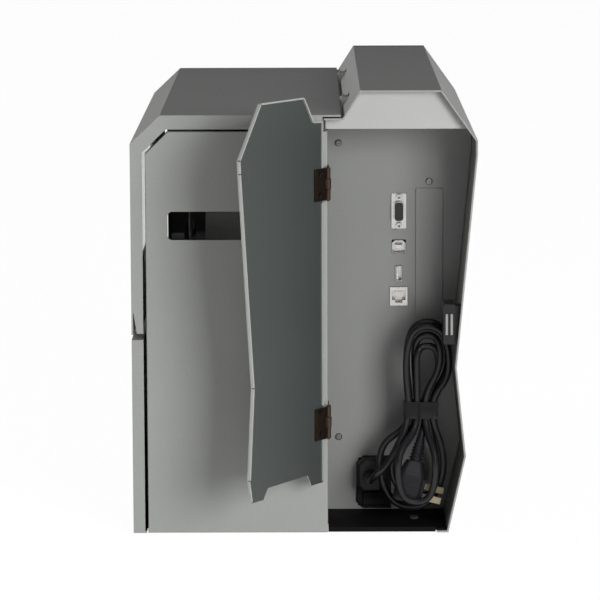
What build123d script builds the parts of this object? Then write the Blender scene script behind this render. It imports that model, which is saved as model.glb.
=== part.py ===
from build123d import *
import os
from math import atan2, cos, pi, radians, sin, sqrt, tan

# A label printer with a radio tag encoder, a bent steel housing and a hinged media cover.
# Millimetres. X runs across the machine, with the media side at +X. Y runs from the front to
# the rear, Z is up. The origin is on the floor, under the middle of the housing.

# Housing
HALF_DEPTH = 232.5          # centre to the front or rear plane of the sheet metal
SHEET = 1.5                 # bent sheet steel
SKIRT = 1.5                 # height of the lowest sheet edge above the floor
GAP = 0.3                   # between neighbouring fixed pieces
FLANGE = 10.1               # width of the flange round the rear and front openings
REVEAL = 2.6                # dark gap between that flange and the panel inside it
SIDE_X = 147.4              # outer face of the media side
COVER_TOP = 362.4           # top of the media cover
CHAMFER_X = 25.6            # width of the cover's long chamfer
CHAMFER_Z = 24.2            # height of the cover's long chamfer
COVER_BOTTOM = 174.4        # lower edge of the media cover
SEAM = 4.4                  # gap under the cover, above the lower side panel
GRIP_HEIGHT = 25.0          # length of the finger gap at the foot of the cover's flange
GRIP_DEPTH = 3.0

# Hump and electronics side, outer outline seen from behind
LEDGE_X = -17.0             # free edge of the ledge under the cover's hinge edge
LEDGE_TOP = 359.5
FOOT_X = -33.0              # foot of the hump's left chamfer
HUMP_LEFT = -47.9
HUMP_RIGHT = -116.7
HUMP_TOP = 383.1
SHOULDER_X = -147.6
SHOULDER_TOP = 340.0
SHOULDER_LOW = 328.0
WAIST_X = -130.3
WAIST_Z = 145.1
BULGE_X = -138.5
BULGE_Z = 68.0
TOE_X = -123.7
HEM = 10.0                  # flange turned in under the base

# Chassis
BASE_THICKNESS = 1.5
BASE_GAP = 0.1              # between the base plate and the hems under it
FOOT_RADIUS = 11.0
BULKHEAD_X = -18.2          # electronics face of the centre wall
BULKHEAD = 3.0
SPINE_X = -20.0             # outer face of the rear panel's bend beside the compartment
SPINE_DEPTH = 27.0
RECESS = 80.0               # depth of the connector compartment
CEILING = 351.0             # top of the compartment
CAP_RECESS = 10.0

# Fanfold slot and label outlet
SLOT_X0 = -2.0
SLOT_X1 = 115.9
SLOT_Z0 = 256.0
SLOT_Z1 = 280.3
SLOT_CORNER = 4.0
OUTLET_X0 = -14.0
OUTLET_X1 = 110.0
OUTLET_LOW = 4.0            # below the top of the platen
OUTLET_HIGH = 18.0          # above the top of the platen

# Rear door, as distances from its hinge axis when closed
DOOR_AXIS_X = -20.6
DOOR_AXIS_Y = 239.2
DOOR_OPEN = 125.0           # degrees, as it stands
DOOR_DEPTH = 8.0            # depth of its turned edges
DOOR_HINGE_EDGE = 7.9
DOOR_BOTTOM = 48.4
DOOR_REACH = 128.0          # to the shoulder
LEAF = 1.2
LEAF_LONG = 27.5
LEAF_WIDE = 18.0
LEAF_Z = (99.8, 304.8)      # middles of the two hinges
PIN_RADIUS = 1.25
PIN_CLEARANCE = 0.05

# Media cover hinges
COVER_AXIS_X = -35.0
COVER_AXIS_Z = 365.0
COVER_HINGE_Y = (-118.0, 122.0)
COVER_HINGE_LONG = 24.0
KNUCKLE_RADIUS = 3.5

# Media path
SUPPLY_Y = 102.5
SUPPLY_Z = 215.0
SPINDLE_RADIUS = 10.0
CORE_RADIUS = 38.1
CORE_WALL = 3.5
ROLL_RADIUS = 95.0
ROLL_X0 = -13.0
ROLL_WIDTH = 98.0
GUIDE_X = 102.0
RUNNING = 0.06              # radial clearance of a turning shaft
RIBBON_Z = 285.0
RIBBON_SUPPLY_Y = -60.0
RIBBON_TAKEUP_Y = -152.0
RIBBON_RADIUS = 33.0
RIBBON_WIDTH = 100.0
RIBBON_CORE = 12.7
RIBBON_SHAFT = 5.0
PLATEN_Y = -200.0
PLATEN_Z = 160.0
PLATEN_RADIUS = 10.0
PLATEN_SHAFT = 4.0
MEDIA_WIDTH = 116.0
HEAD_PIVOT_Y = -130.0
HEAD_PIVOT_Z = 208.0
LATCH_Y = -172.0
LATCH_Z = 206.0
LATCH_SHAFT = 5.0
FRAME_X1 = 111.0            # outer face of the print frame
FRAME_PLATE = 3.0

# Gear train
MODULE = 1.0
PLATEN_TEETH = 24
IDLER_TEETH = 40
PINION_TEETH = 14
BACKLASH = 0.24
GEAR_X0 = -30.0
GEAR_WIDE = 7.0
IDLER_ANGLE = -20.0         # from the platen to the idler, from +Y towards +Z
PINION_ANGLE = -30.0        # from the idler to the pinion

# Connectors
PORT_X = -82.6
SERIAL_Z = 270.3
USB_B_Z = 238.8
USB_A_Z = 215.3
NETWORK_Z = 195.0
JACK_PITCH = 24.99
INLET_X = -60.8
INLET_Z = 29.5
INLET_WIDE = 30.4
INLET_TALL = 47.0
INLET_CORNER = 6.0
SOCKET_X = -57.0            # middle of the appliance socket, which stands upright
SOCKET_Z = 38.0
CATCH_X0 = -128.0
CATCH_X1 = -118.5
CATCH_Z0 = 166.5
CATCH_Z1 = 200.9

# Cord
CORD = 6.0
WAIST_MIDDLE_X = -101.0
TIE_Z = 102.5
TIE_TALL = 15.0
LEG_PITCH = 6.7             # between the legs in the tie, and between the layers
HANK_FRONT_Y = 198.0        # middle of the layer nearest to the door
HANK_LOOPS = 4

BASE_Z = SKIRT + SHEET + BASE_GAP
FLOOR_Z = BASE_Z + BASE_THICKNESS
REAR = HALF_DEPTH
FRONT = -HALF_DEPTH
COMPARTMENT_Y = REAR - RECESS
PANEL_X1 = SIDE_X - FLANGE - REVEAL
PLATEN_TOP = PLATEN_Z + PLATEN_RADIUS

# Louvres in the side of the electronics cover
LOUVRES = 9
LOUVRE_Y = -150.0
LOUVRE_PITCH = 12.0
LOUVRE_WIDE = 4.0
LOUVRE_TALL = 60.0
LOUVRE_Z = 255.0

# Turned edges of the media panels
PANEL_EDGE = 12.0

# Feet
FOOT_STEM = 4.0
FEET = [(-95.0, -205.0), (-95.0, 190.0), (120.0, -205.0), (120.0, 205.0)]

# Bushes and stubs on the centre wall
BUSH_RADIUS = 7.0
STUB_RADIUS = 6.0

# Window in the media cover
WINDOW_LONG = 210.0
WINDOW_TALL = 100.0
WINDOW_Y = -30.0
WINDOW_Z = 268.0
WINDOW_LAP = 9.0
PANE = 2.0

# Front of the electronics side
FASCIA = 12.0
DISPLAY_X = -82.0
DISPLAY_Z = 296.0
DISPLAY_WIDE = 104.0
DISPLAY_TALL = 66.0
DISPLAY_THICK = 2.0
KEY_Z = 240.0
KEY_RADIUS = 8.0
KEY_TRAVEL = 1.2

# Jack posts of the serial port
JACK_BORE = 1.2

# Cover of the expansion opening
EXPANSION_X0 = -121.3
EXPANSION_X1 = -97.2
EXPANSION_Z0 = 176.0
EXPANSION_Z1 = 290.4

# Appliance socket and rocker switch
SOCKET_WIDE = 24.0
SOCKET_TALL = 16.5
ROCKER_Z = 15.0
ROCKER_WIDE = 19.0
ROCKER_TALL = 12.0
ROCKER_AXIS_Y = 1.0         # in front of the panel's rear face
ROCKER_SWING = 7.0

# Poles of the door catch
POLE_X = (-125.6, -121.4)
POLE = 1.0

# Knuckles of the door hinges
ROLL = 2.6                  # outer radius of the hinge's rolled knuckles

# Tabs of the cover hinges
HINGE_TAB = 2.0

# Label supply
BULKHEAD_FACE = BULKHEAD_X + BULKHEAD
SPINDLE_END = 128.0
GUIDE_PLATE = 2.0
GUIDE_ARM = 34.0
GUIDE_REACH = 88.0

# Ribbon spindles
RIBBON_X0 = -9.0
SPINDLE_FLANGE = 20.0

# Cross parts of the print frame, and the guides
CROSS_X0 = BULKHEAD_FACE + 0.1
GUIDE_Z = 165.0
EDGE_GUIDE_X = 88.0

# Tear bar and damper
TOOTH = 3.0
DAMPER_Y = -62.0
DAMPER_Z = 148.0

# Print head and its carrier
HEAD_X0 = -9.0
HEAD_X1 = 104.0
CARRIER_TOP = 190.6

# Latch cams
CAM_X = (14.0, 80.0)
CAM_REACH = 15.0
CAM_DROP = 7.6
LATCH_TURN = 90.0
LEVER = 46.0

# Gear pins and drive motor
IDLER_PIN = 3.0
MOTOR_SHAFT = 2.5
MOTOR = 42.0
MOTOR_LONG = 38.0
MOTOR_FACE_X = GEAR_X0 - 6.0

# Main board
BOARD_X = -93.5
BOARD_Y0 = 0.0
BOARD_Z0 = 178.0
BOARD_Z1 = 292.0

# The cord's hank. Its loops stand in two layers and are drawn in at the tie. X and Z are the
# widest places of the loops. Each lower loop runs from the electronics side to the media side.
UPPER_X = -106.5
UPPER_HALF = (18.5, 17.1, 9.8, 11.3)
UPPER_TOP = (175.0, 178.5, 167.0, 165.5)
UPPER_WIDEST = (38.0, 36.0, 44.0, 44.0)     # above the tie
LOWER_RIGHT = (-120.5, -118.5, -110.5)
LOWER_LEFT = (-66.5, -76.5, -90.5)
LOWER_BOTTOM = (16.5, 24.5, 34.0)
LOWER_WIDEST = (47.5, 51.0, 57.0)           # below the tie
LOWER_BEHIND = (0.0, 2.5, 2.5)              # of the layer that the loop is on its way to
LEAD_END = (-89.9, 199.0, 91.0)
LEAD_AIM = (-0.10, -0.09, 0.99)
TAIL_TOP = 92.0
CONNECTOR_TIP = (SOCKET_X, 184.0, SOCKET_Z)
LEAD_ROUTE = [CONNECTOR_TIP, (SOCKET_X, 195.0, SOCKET_Z), (-61.4, 206.5, 43.6), (-69.1, 212.4, 53.3),
              (-78.0, 210.0, 63.0), (-85.6, 204.5, 72.5), (-88.9, 199.9, 81.1), LEAD_END]
PLUG_TOP = (-103.2, 202.5, 80.0)
PLUG_AIM = (0.19, 0.36, -0.96)

# Plug
RELIEF = 21.0
PLUG_BODY = 37.0
PLUG_WIDE = 23.0
PLUG_THICK = 16.5

# Tie
TIE_WALL = 1.6


def span(x0, x1, y0, y1, z0, z1):
    """A box between its six faces."""
    middle = Pos((x0 + x1) / 2, (y0 + y1) / 2, (z0 + z1) / 2)
    return middle * Box(abs(x1 - x0), abs(y1 - y0), abs(z1 - z0))


def rod_x(x0, x1, y, z, radius):
    """A round bar along X."""
    return Pos((x0 + x1) / 2, y, z) * Rot(0, 90, 0) * Cylinder(radius, abs(x1 - x0))


def rod_y(y0, y1, x, z, radius):
    """A round bar along Y."""
    return Pos(x, (y0 + y1) / 2, z) * Rot(90, 0, 0) * Cylinder(radius, abs(y1 - y0))


def rod_z(z0, z1, x, y, radius):
    """An upright round bar."""
    return Pos(x, y, (z0 + z1) / 2) * Cylinder(radius, abs(z1 - z0))


def across(points, y0, y1):
    """Extrude an outline of X and Z points from y0 to y1."""
    face = Plane.XZ * make_face(Polyline(*points, close=True))
    return Pos(0, y1, 0) * extrude(face, amount=y1 - y0)


def along(points, x0, x1):
    """Extrude an outline of Y and Z points from x0 to x1."""
    face = Plane.YZ * make_face(Polyline(*points, close=True))
    return Pos(x0, 0, 0) * extrude(face, amount=x1 - x0)


def beside(points, distance, closed=False):
    """Points of a line moved to the left of its run by a distance, with mitred corners."""
    count = len(points)
    normals = []
    for a, b in zip(points, points[1:] + points[:1]):
        length = sqrt((b[0] - a[0]) ** 2 + (b[1] - a[1]) ** 2)
        normals.append(((a[1] - b[1]) / length, (b[0] - a[0]) / length))
    moved = []
    for i, (x, z) in enumerate(points):
        before = normals[i - 1] if closed or i > 0 else normals[0]
        after = normals[i] if closed or i < count - 1 else normals[i - 1]
        share = 1 + before[0] * after[0] + before[1] * after[1]
        moved.append((x + distance * (before[0] + after[0]) / share,
                      z + distance * (before[1] + after[1]) / share))
    return moved


def bent_sheet(points, y0, y1, thickness):
    """A sheet whose outer face follows a line of X and Z points."""
    return across(points + beside(points, thickness)[::-1], y0, y1)


def write(name, shape):
    """Save one sub-part as its own file."""
    solids = shape.solids() if hasattr(shape, "solids") else shape
    body = solids[0] if len(solids) == 1 else Compound(list(solids))
    export_step(body, f"parts/{name}.step")
    return body


def hump_line():
    """Outer outline of the electronics side, from its ledge over the hump to the toe."""
    return [(LEDGE_X, LEDGE_TOP), (FOOT_X, LEDGE_TOP), (HUMP_LEFT, HUMP_TOP),
            (HUMP_RIGHT, HUMP_TOP), (SHOULDER_X, SHOULDER_TOP), (SHOULDER_X, SHOULDER_LOW),
            (WAIST_X, WAIST_Z), (BULGE_X, BULGE_Z), (TOE_X, SKIRT), (TOE_X + HEM, SKIRT)]


def wall_x(z, inset):
    """X of the electronics side wall at a height, a distance inside its outer face."""
    line = beside(hump_line(), inset)[3:9]
    for a, b in zip(line, line[1:]):
        if b[1] <= z <= a[1]:
            return a[0] + (b[0] - a[0]) * (a[1] - z) / (a[1] - b[1])
    return line[-1][0]


def compartment_outline(z0, z1, inset):
    """Section of the room behind the electronics side, between two heights."""
    right = BULKHEAD_X - GAP
    corners = [(right, z0), (right, z1), (wall_x(z1, inset), z1)]
    for z in (SHOULDER_TOP, SHOULDER_LOW, WAIST_Z, BULGE_Z):
        if z0 < z < z1:
            corners.append((wall_x(z, inset), z))
    corners.append((wall_x(z0, inset), z0))
    return corners


def electronics_cover():
    """One bent sheet round the electronics side, with hinge cut-outs and side louvres."""
    shell = bent_sheet(hump_line(), FRONT, REAR, SHEET)
    for y in COVER_HINGE_Y:
        half = COVER_HINGE_LONG / 2
        shell -= span(FOOT_X - 7, LEDGE_X + 1, y - half, y + half, LEDGE_TOP - 3, LEDGE_TOP + 11)
    louvres = [Pos(SHOULDER_X, LOUVRE_Y + i * LOUVRE_PITCH, LOUVRE_Z)
               * Box(40, LOUVRE_WIDE, LOUVRE_TALL) for i in range(LOUVRES)]
    return shell - louvres


def pan(points, y_face, direction, depth):
    """A panel with its edges turned away from its face. Direction is +1 for a rear panel."""
    inner = beside(points, -SHEET, closed=True)
    y_back = y_face - direction * depth
    outer = across(points, min(y_face, y_back), max(y_face, y_back))
    edges = [e for e in outer.edges() if abs(e.center().Y - y_face) < 0.01]
    outer = fillet(edges, SHEET * 0.8)
    y_floor = y_face - direction * SHEET
    return outer - across(inner, min(y_floor, y_back) - 1 * (direction > 0),
                          max(y_floor, y_back) + 1 * (direction < 0))


def media_panel_outline():
    """Outline of the fixed panel inside the cover's flange, clockwise from the foot."""
    top = COVER_TOP - SHEET - FLANGE - REVEAL + 0.4
    return [(SPINE_X, SKIRT), (SPINE_X, top), (PANEL_X1 - 19.5, top),
            (PANEL_X1, top - 19.0), (PANEL_X1, SKIRT)]


def rounded_slot(x0, x1, z0, z1, radius, y0, y1):
    """A cutter for a slot with round corners."""
    face = Plane.XZ * RectangleRounded(x1 - x0, z1 - z0, radius)
    return Pos((x0 + x1) / 2, y1, (z0 + z1) / 2) * extrude(face, amount=y1 - y0)


def rear_media_panel():
    """Rear wall of the media side, with the fanfold slot and the bend by the compartment."""
    panel = pan(media_panel_outline(), REAR, 1, PANEL_EDGE)
    top = media_panel_outline()[1][1]
    panel += span(SPINE_X, SPINE_X + SHEET, REAR - SPINE_DEPTH, REAR - PANEL_EDGE + 1, SKIRT, top)
    return panel - rounded_slot(SLOT_X0, SLOT_X1, SLOT_Z0, SLOT_Z1, SLOT_CORNER, REAR - 5, REAR + 5)


def front_media_panel():
    """Front wall of the media side, with the label outlet."""
    panel = pan(media_panel_outline(), FRONT, -1, PANEL_EDGE)
    return panel - rounded_slot(OUTLET_X0, OUTLET_X1, PLATEN_TOP - OUTLET_LOW,
                                PLATEN_TOP + OUTLET_HIGH, 3, FRONT - 5, FRONT + 5)


def base_plate():
    """Floor of the machine, long under the electronics side, with a lip at the compartment."""
    y = REAR - SHEET - GAP
    y_short = REAR - PANEL_EDGE - GAP
    left = wall_x(BASE_Z, SHEET) + GAP
    right = SPINE_X - GAP
    plate = span(left, SIDE_X - SHEET - GAP, -y_short, y_short, BASE_Z, FLOOR_Z)
    plate -= span(right, BULKHEAD_X, REAR - SPINE_DEPTH - GAP, REAR, BASE_Z - 1, FLOOR_Z + 1)
    plate += span(left, right, -y, y, BASE_Z, FLOOR_Z)
    plate += span(TOE_X + HEM + 1, right, y - SHEET, y, SKIRT + 0.3, FLOOR_Z + 1.4)
    for foot_x, foot_y in FEET:
        plate -= Pos(foot_x, foot_y, BASE_Z) * Cylinder(FOOT_STEM + 0.05, 10)
    return plate


def rubber_feet():
    """Four low feet, each pushed through the base plate by its stem."""
    feet = []
    for x, y in FEET:
        pad = Pos(x, y, 0) * Cylinder(FOOT_RADIUS, BASE_Z, align=(Align.CENTER, Align.CENTER, Align.MIN))
        pad = fillet(pad.edges().sort_by(Axis.Z)[0], 0.8)
        stem = rod_z(BASE_Z - 1, FLOOR_Z + 2, x, y, FOOT_STEM)
        feet.append(pad + stem)
    return Compound(feet)


def bulkhead():
    """Centre wall, with the bores of the spindles, the platen and the cover hinges' notches."""
    x1 = BULKHEAD_X + BULKHEAD
    depth = REAR - PANEL_EDGE - GAP
    wall = span(BULKHEAD_X, x1, -depth, depth, FLOOR_Z + BASE_GAP, LEDGE_TOP - SHEET - GAP)
    for y in COVER_HINGE_Y:
        half = COVER_HINGE_LONG / 2
        wall -= span(BULKHEAD_X - 1, x1 + 1, y - half, y + half, LEDGE_TOP - SHEET - 8, LEDGE_TOP)
    for y in (RIBBON_SUPPLY_Y, RIBBON_TAKEUP_Y):
        wall -= rod_x(BULKHEAD_X - 1, x1 + 1, y, RIBBON_Z, RIBBON_SHAFT + RUNNING)
    wall -= rod_x(BULKHEAD_X - 1, x1 + 1, PLATEN_Y, PLATEN_Z, BUSH_RADIUS)
    wall -= rod_x(BULKHEAD_X - 1, x1 + 1, SUPPLY_Y, SUPPLY_Z, STUB_RADIUS)
    return wall


def connector_panel():
    """Front wall of the compartment, with the openings of its ports."""
    wall = across(compartment_outline(FLOOR_Z + GAP, CEILING - SHEET - GAP, SHEET + GAP),
                  COMPARTMENT_Y - SHEET, COMPARTMENT_Y)
    y0, y1 = COMPARTMENT_Y - 5, COMPARTMENT_Y + 5
    wall -= rounded_slot(PORT_X - 5.5, PORT_X + 5.5, SERIAL_Z - 9.5, SERIAL_Z + 9.5, 2, y0, y1)
    wall -= span(PORT_X - 6.2, PORT_X + 6.2, y0, y1, USB_B_Z - 6.2, USB_B_Z + 6.2)
    wall -= span(PORT_X - 3.2, PORT_X + 3.2, y0, y1, USB_A_Z - 6.9, USB_A_Z + 6.9)
    wall -= span(PORT_X - 8.0, PORT_X + 8.0, y0, y1, NETWORK_Z - 8.4, NETWORK_Z + 8.4)
    wall -= span(INLET_X - 13.7, INLET_X + 13.7, y0, y1, INLET_Z - 21.5, INLET_Z + 21.5)
    return wall


def rear_cap():
    """Trapezoid panel in the end of the hump, with the compartment's ceiling turned from it."""
    inner = beside(hump_line(), SHEET + GAP)
    y1 = REAR - CAP_RECESS
    top = [(BULKHEAD_X - GAP, CEILING - SHEET), (BULKHEAD_X - GAP, LEDGE_TOP - SHEET - GAP)]
    top += inner[1:4] + [(wall_x(CEILING - SHEET, SHEET + GAP), CEILING - SHEET)]
    plate = across(top, y1 - SHEET, y1)
    x0 = wall_x(CEILING, SHEET + GAP)
    return plate + span(x0, BULKHEAD_X - GAP, COMPARTMENT_Y - SHEET, y1 - 1, CEILING - SHEET, CEILING)


def cover_line():
    """Outer face of the media cover, from its foot up the side and over to the hinge edge."""
    return [(SIDE_X, COVER_BOTTOM), (SIDE_X, COVER_TOP - CHAMFER_Z),
            (SIDE_X - CHAMFER_X, COVER_TOP), (FOOT_X + 1.5, COVER_TOP)]


def media_cover():
    """Bent cover of the media side, with flanges at both ends and a window opening."""
    shell = bent_sheet(cover_line(), FRONT, REAR, SHEET)
    inner_x = SIDE_X - FLANGE
    inner_top = COVER_TOP - SHEET - FLANGE
    flange = [(SIDE_X - SHEET / 2, COVER_BOTTOM + GRIP_HEIGHT),
              (SIDE_X - SHEET / 2, COVER_TOP - CHAMFER_Z - 0.3),
              (SIDE_X - CHAMFER_X, COVER_TOP - SHEET / 2), (LEDGE_X + 1, COVER_TOP - SHEET / 2),
              (LEDGE_X + 1, inner_top - 0.4), (SIDE_X - CHAMFER_X - 5, inner_top - 0.4),
              (inner_x, inner_top - 20.3), (inner_x, COVER_BOTTOM + 1),
              (SIDE_X - SHEET - GRIP_DEPTH, COVER_BOTTOM + 1)]
    shell += across(flange, REAR - SHEET, REAR)
    shell += across(flange, FRONT, FRONT + SHEET)
    hem = span(SIDE_X - SHEET - 6, SIDE_X - SHEET / 2, FRONT + 20, REAR - 20,
               COVER_BOTTOM, COVER_BOTTOM + SHEET)
    shell += hem
    window = Plane.YZ * RectangleRounded(WINDOW_LONG, WINDOW_TALL, 12)
    return shell - Pos(SIDE_X - 5, WINDOW_Y, WINDOW_Z) * extrude(window, amount=10)


def cover_window():
    """Clear pane behind the window opening, with a raised middle that fills the opening."""
    back = Plane.YZ * RectangleRounded(WINDOW_LONG + 2 * WINDOW_LAP, WINDOW_TALL + 2 * WINDOW_LAP, 16)
    pane = Pos(SIDE_X - SHEET - PANE, WINDOW_Y, WINDOW_Z) * extrude(back, amount=PANE)
    proud = Plane.YZ * RectangleRounded(WINDOW_LONG - 1, WINDOW_TALL - 1, 11.5)
    return pane + Pos(SIDE_X - SHEET - 0.5, WINDOW_Y, WINDOW_Z) * extrude(proud, amount=SHEET + 0.2)


def lower_side_panel():
    """Fixed sheet below the cover, with end flanges and a hem under the base."""
    top = COVER_BOTTOM - SEAM
    line = [(SIDE_X - SHEET - HEM, SKIRT), (SIDE_X, SKIRT), (SIDE_X, top), (SIDE_X - FLANGE, top)]
    shell = bent_sheet(line, FRONT, REAR, SHEET)
    end = [(SIDE_X - FLANGE, SKIRT + 0.1), (SIDE_X - 0.1, SKIRT + 0.1),
           (SIDE_X - 0.1, top - 0.1), (SIDE_X - FLANGE, top - 0.1)]
    return shell + across(end, REAR - SHEET, REAR) + across(end, FRONT, FRONT + SHEET)


def fascia_outline(inset):
    """Outline of the front bezel of the electronics side."""
    line = hump_line()[1:9]
    closed = [(LEDGE_X - 1.2, SKIRT), (LEDGE_X - 1.2, LEDGE_TOP)] + line
    return beside(closed, inset, closed=True)


def front_fascia():
    """Moulded front of the electronics side, with a bed for the display and the key's bore."""
    y0 = FRONT - FASCIA
    body = across(fascia_outline(0), y0, FRONT - 0.2)
    front_edges = [e for e in body.edges() if abs(e.center().Y - y0) < 0.01]
    body = chamfer(front_edges, 2.0)
    body -= across(fascia_outline(2.6), y0 + 2.6, FRONT + 1)
    bed = Plane.XZ * RectangleRounded(DISPLAY_WIDE + 6, DISPLAY_TALL + 6, 6)
    body += Pos(DISPLAY_X, FRONT - 0.2, DISPLAY_Z) * extrude(bed, amount=FASCIA - 2.4)
    glass = Plane.XZ * RectangleRounded(DISPLAY_WIDE + 2 * GAP, DISPLAY_TALL + 2 * GAP, 4.3)
    body -= Pos(DISPLAY_X, y0 + DISPLAY_THICK + GAP, DISPLAY_Z) * extrude(glass, amount=DISPLAY_THICK + 2)
    body += rod_y(y0 + 2, FRONT - 0.2, DISPLAY_X, KEY_Z, KEY_RADIUS + 3)
    return body - rod_y(y0 - 1, FRONT + 1, DISPLAY_X, KEY_Z, KEY_RADIUS + GAP)


def display_glass():
    """Flat touch display, flush in its bed."""
    glass = Plane.XZ * RectangleRounded(DISPLAY_WIDE, DISPLAY_TALL, 4)
    return Pos(DISPLAY_X, FRONT - FASCIA + DISPLAY_THICK, DISPLAY_Z) * extrude(glass, amount=DISPLAY_THICK)


def front_key():
    """Round feed key with a domed face and a shoulder behind the bezel."""
    y0 = FRONT - FASCIA - KEY_TRAVEL - 0.6
    key = rod_y(y0, FRONT - 1.0, DISPLAY_X, KEY_Z, KEY_RADIUS)
    rim = [e for e in key.edges() if abs(e.center().Y - y0) < 0.01]
    return fillet(rim, 0.9) + rod_y(FRONT - 0.1, FRONT - 1.1, DISPLAY_X, KEY_Z, KEY_RADIUS - 1)


def rounded_block(x, y0, y1, z, wide, tall, radius):
    """A block with round edges along Y."""
    face = Plane.XZ * RectangleRounded(wide, tall, radius)
    return Pos(x, y1, z) * extrude(face, amount=y1 - y0)


def serial_port():
    """Nine way socket, upright, with its flange and two threaded jack posts."""
    y = COMPARTMENT_Y
    flange = rounded_block(PORT_X, y + 0.05, y + 1.0, SERIAL_Z, 12.9, 30.8, 1.2)
    shell = rounded_block(PORT_X, y - 8.5, y + 6.2, SERIAL_Z, 8.4, 17.0, 3.0)
    shell -= rounded_block(PORT_X, y + 0.6, y + 7, SERIAL_Z, 7.4, 16.0, 2.5)
    face = rounded_block(PORT_X, y + 0.5, y + 5.6, SERIAL_Z, 7.0, 15.6, 2.3)
    rows = [Pos(PORT_X + side * 1.42, y + 3, SERIAL_Z + (i - (count - 1) / 2) * 2.77)
            * Rot(90, 0, 0) * Cylinder(0.5, 6) for side, count in ((-1, 5), (1, 4))
            for i in range(count)]
    body = flange + shell + face
    for hole in rows:
        body -= hole
    for side in (-1, 1):
        z = SERIAL_Z + side * JACK_PITCH / 2
        post = Plane.XZ * RegularPolygon(2.75, 6)
        body += Pos(PORT_X, y + 5.8, z) * extrude(post, amount=5.3)
        body -= rod_y(y + 0.8, y + 6, PORT_X, z, JACK_BORE)
    return body


def usb_b_port():
    """Square socket with two sloped corners and its tongue."""
    y = COMPARTMENT_Y
    outline = [(-6, -5.7), (-6, 3.2), (-3.4, 5.7), (3.4, 5.7), (6, 3.2), (6, -5.7)]
    inner = beside(outline, -0.5, closed=True)
    place = Pos(PORT_X, 0, USB_B_Z)
    body = place * across(outline, y - 9, y + 0.8)
    body -= place * across(inner, y - 7, y + 1)
    return body + span(PORT_X - 3, PORT_X + 3, y - 8, y - 0.2, USB_B_Z - 1.8, USB_B_Z + 1.6)


def usb_a_port():
    """Upright flat socket with its tongue."""
    y = COMPARTMENT_Y
    body = rounded_block(PORT_X, y - 9, y + 0.9, USB_A_Z, 5.9, 13.3, 0.5)
    body -= rounded_block(PORT_X, y - 8, y + 1, USB_A_Z, 4.9, 12.3, 0.3)
    return body + span(PORT_X + 0.3, PORT_X + 2.1, y - 8.5, y - 0.3, USB_A_Z - 5.6, USB_A_Z + 5.6)


def usb_ports():
    """Both serial bus sockets."""
    return Compound(list(usb_b_port().solids()) + list(usb_a_port().solids()))


def network_port():
    """Eight way modular jack with its latch notch."""
    y = COMPARTMENT_Y
    body = rounded_block(PORT_X, y - 9, y + 1.0, NETWORK_Z, 15.6, 16.4, 0.6)
    body -= span(PORT_X - 5.9, PORT_X + 5.9, y - 7.5, y + 2, NETWORK_Z - 3.2, NETWORK_Z + 5.0)
    body -= span(PORT_X - 3.1, PORT_X + 3.1, y - 7.5, y + 2, NETWORK_Z - 5.6, NETWORK_Z - 3)
    return body


def expansion_cover():
    """Blank cover plate over the spare interface opening."""
    y = COMPARTMENT_Y
    wide, tall = EXPANSION_X1 - EXPANSION_X0, EXPANSION_Z1 - EXPANSION_Z0
    middle = ((EXPANSION_X0 + EXPANSION_X1) / 2, (EXPANSION_Z0 + EXPANSION_Z1) / 2)
    plate = rounded_block(middle[0], y + 0.05, y + 1.05, middle[1], wide, tall, 1.5)
    return fillet([e for e in plate.edges() if abs(e.center().Y - y - 1.05) < 0.01], 0.5)


def screw_y(x, y, z, radius=3.0):
    """Pan head screw whose head stands towards the rear, with a cross recess."""
    head = rod_y(y + 0.05, y + 1.85, x, z, radius)
    head = fillet([e for e in head.edges() if abs(e.center().Y - y - 1.85) < 0.01], 1.2)
    for turn in (0, 90):
        head -= Pos(x, y + 1.6, z) * Rot(0, turn, 0) * Box(radius * 1.1, 1.4, 0.6)
    return head


def panel_screws():
    """Screws of the connector panel and of the strip on the side wall."""
    y = COMPARTMENT_Y
    screws = [screw_y(-109.0, y, 296.3), screw_y(-30.0, y, 330.0), screw_y(-30.0, y, 70.0),
              screw_y(INLET_X - 18.3, y, INLET_Z + 17), screw_y(EXPANSION_X0 + 12, y, 168.0)]
    return Compound(screws)


def inlet_outline(inset):
    """Flange of the inlet, with two cut corners towards the centre wall."""
    w, h, c = INLET_WIDE / 2 - inset, INLET_TALL / 2 - inset, INLET_CORNER
    return [(INLET_X - w, INLET_Z - h), (INLET_X - w, INLET_Z + h), (INLET_X + w - c, INLET_Z + h),
            (INLET_X + w, INLET_Z + h - c), (INLET_X + w, INLET_Z - h + c), (INLET_X + w - c, INLET_Z - h)]


def power_inlet():
    """Inlet with its appliance socket above and the switch frame below."""
    y = COMPARTMENT_Y
    body = across(inlet_outline(0), y + 0.05, y + 3.0)
    body = chamfer([e for e in body.edges() if abs(e.center().Y - y - 3) < 0.01], 1.0)
    body += span(INLET_X - 13.4, INLET_X + 13.4, y - 24, y + 0.2, INLET_Z - 21.2, INLET_Z + 21.2)
    body -= rounded_block(SOCKET_X, y - 16, y + 4, SOCKET_Z, SOCKET_TALL + 0.8, SOCKET_WIDE + 0.8, 2.4)
    body -= rounded_block(INLET_X, y - 14, y + 4, ROCKER_Z, ROCKER_WIDE + 0.9, ROCKER_TALL + 0.9, 0.8)
    return body


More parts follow.
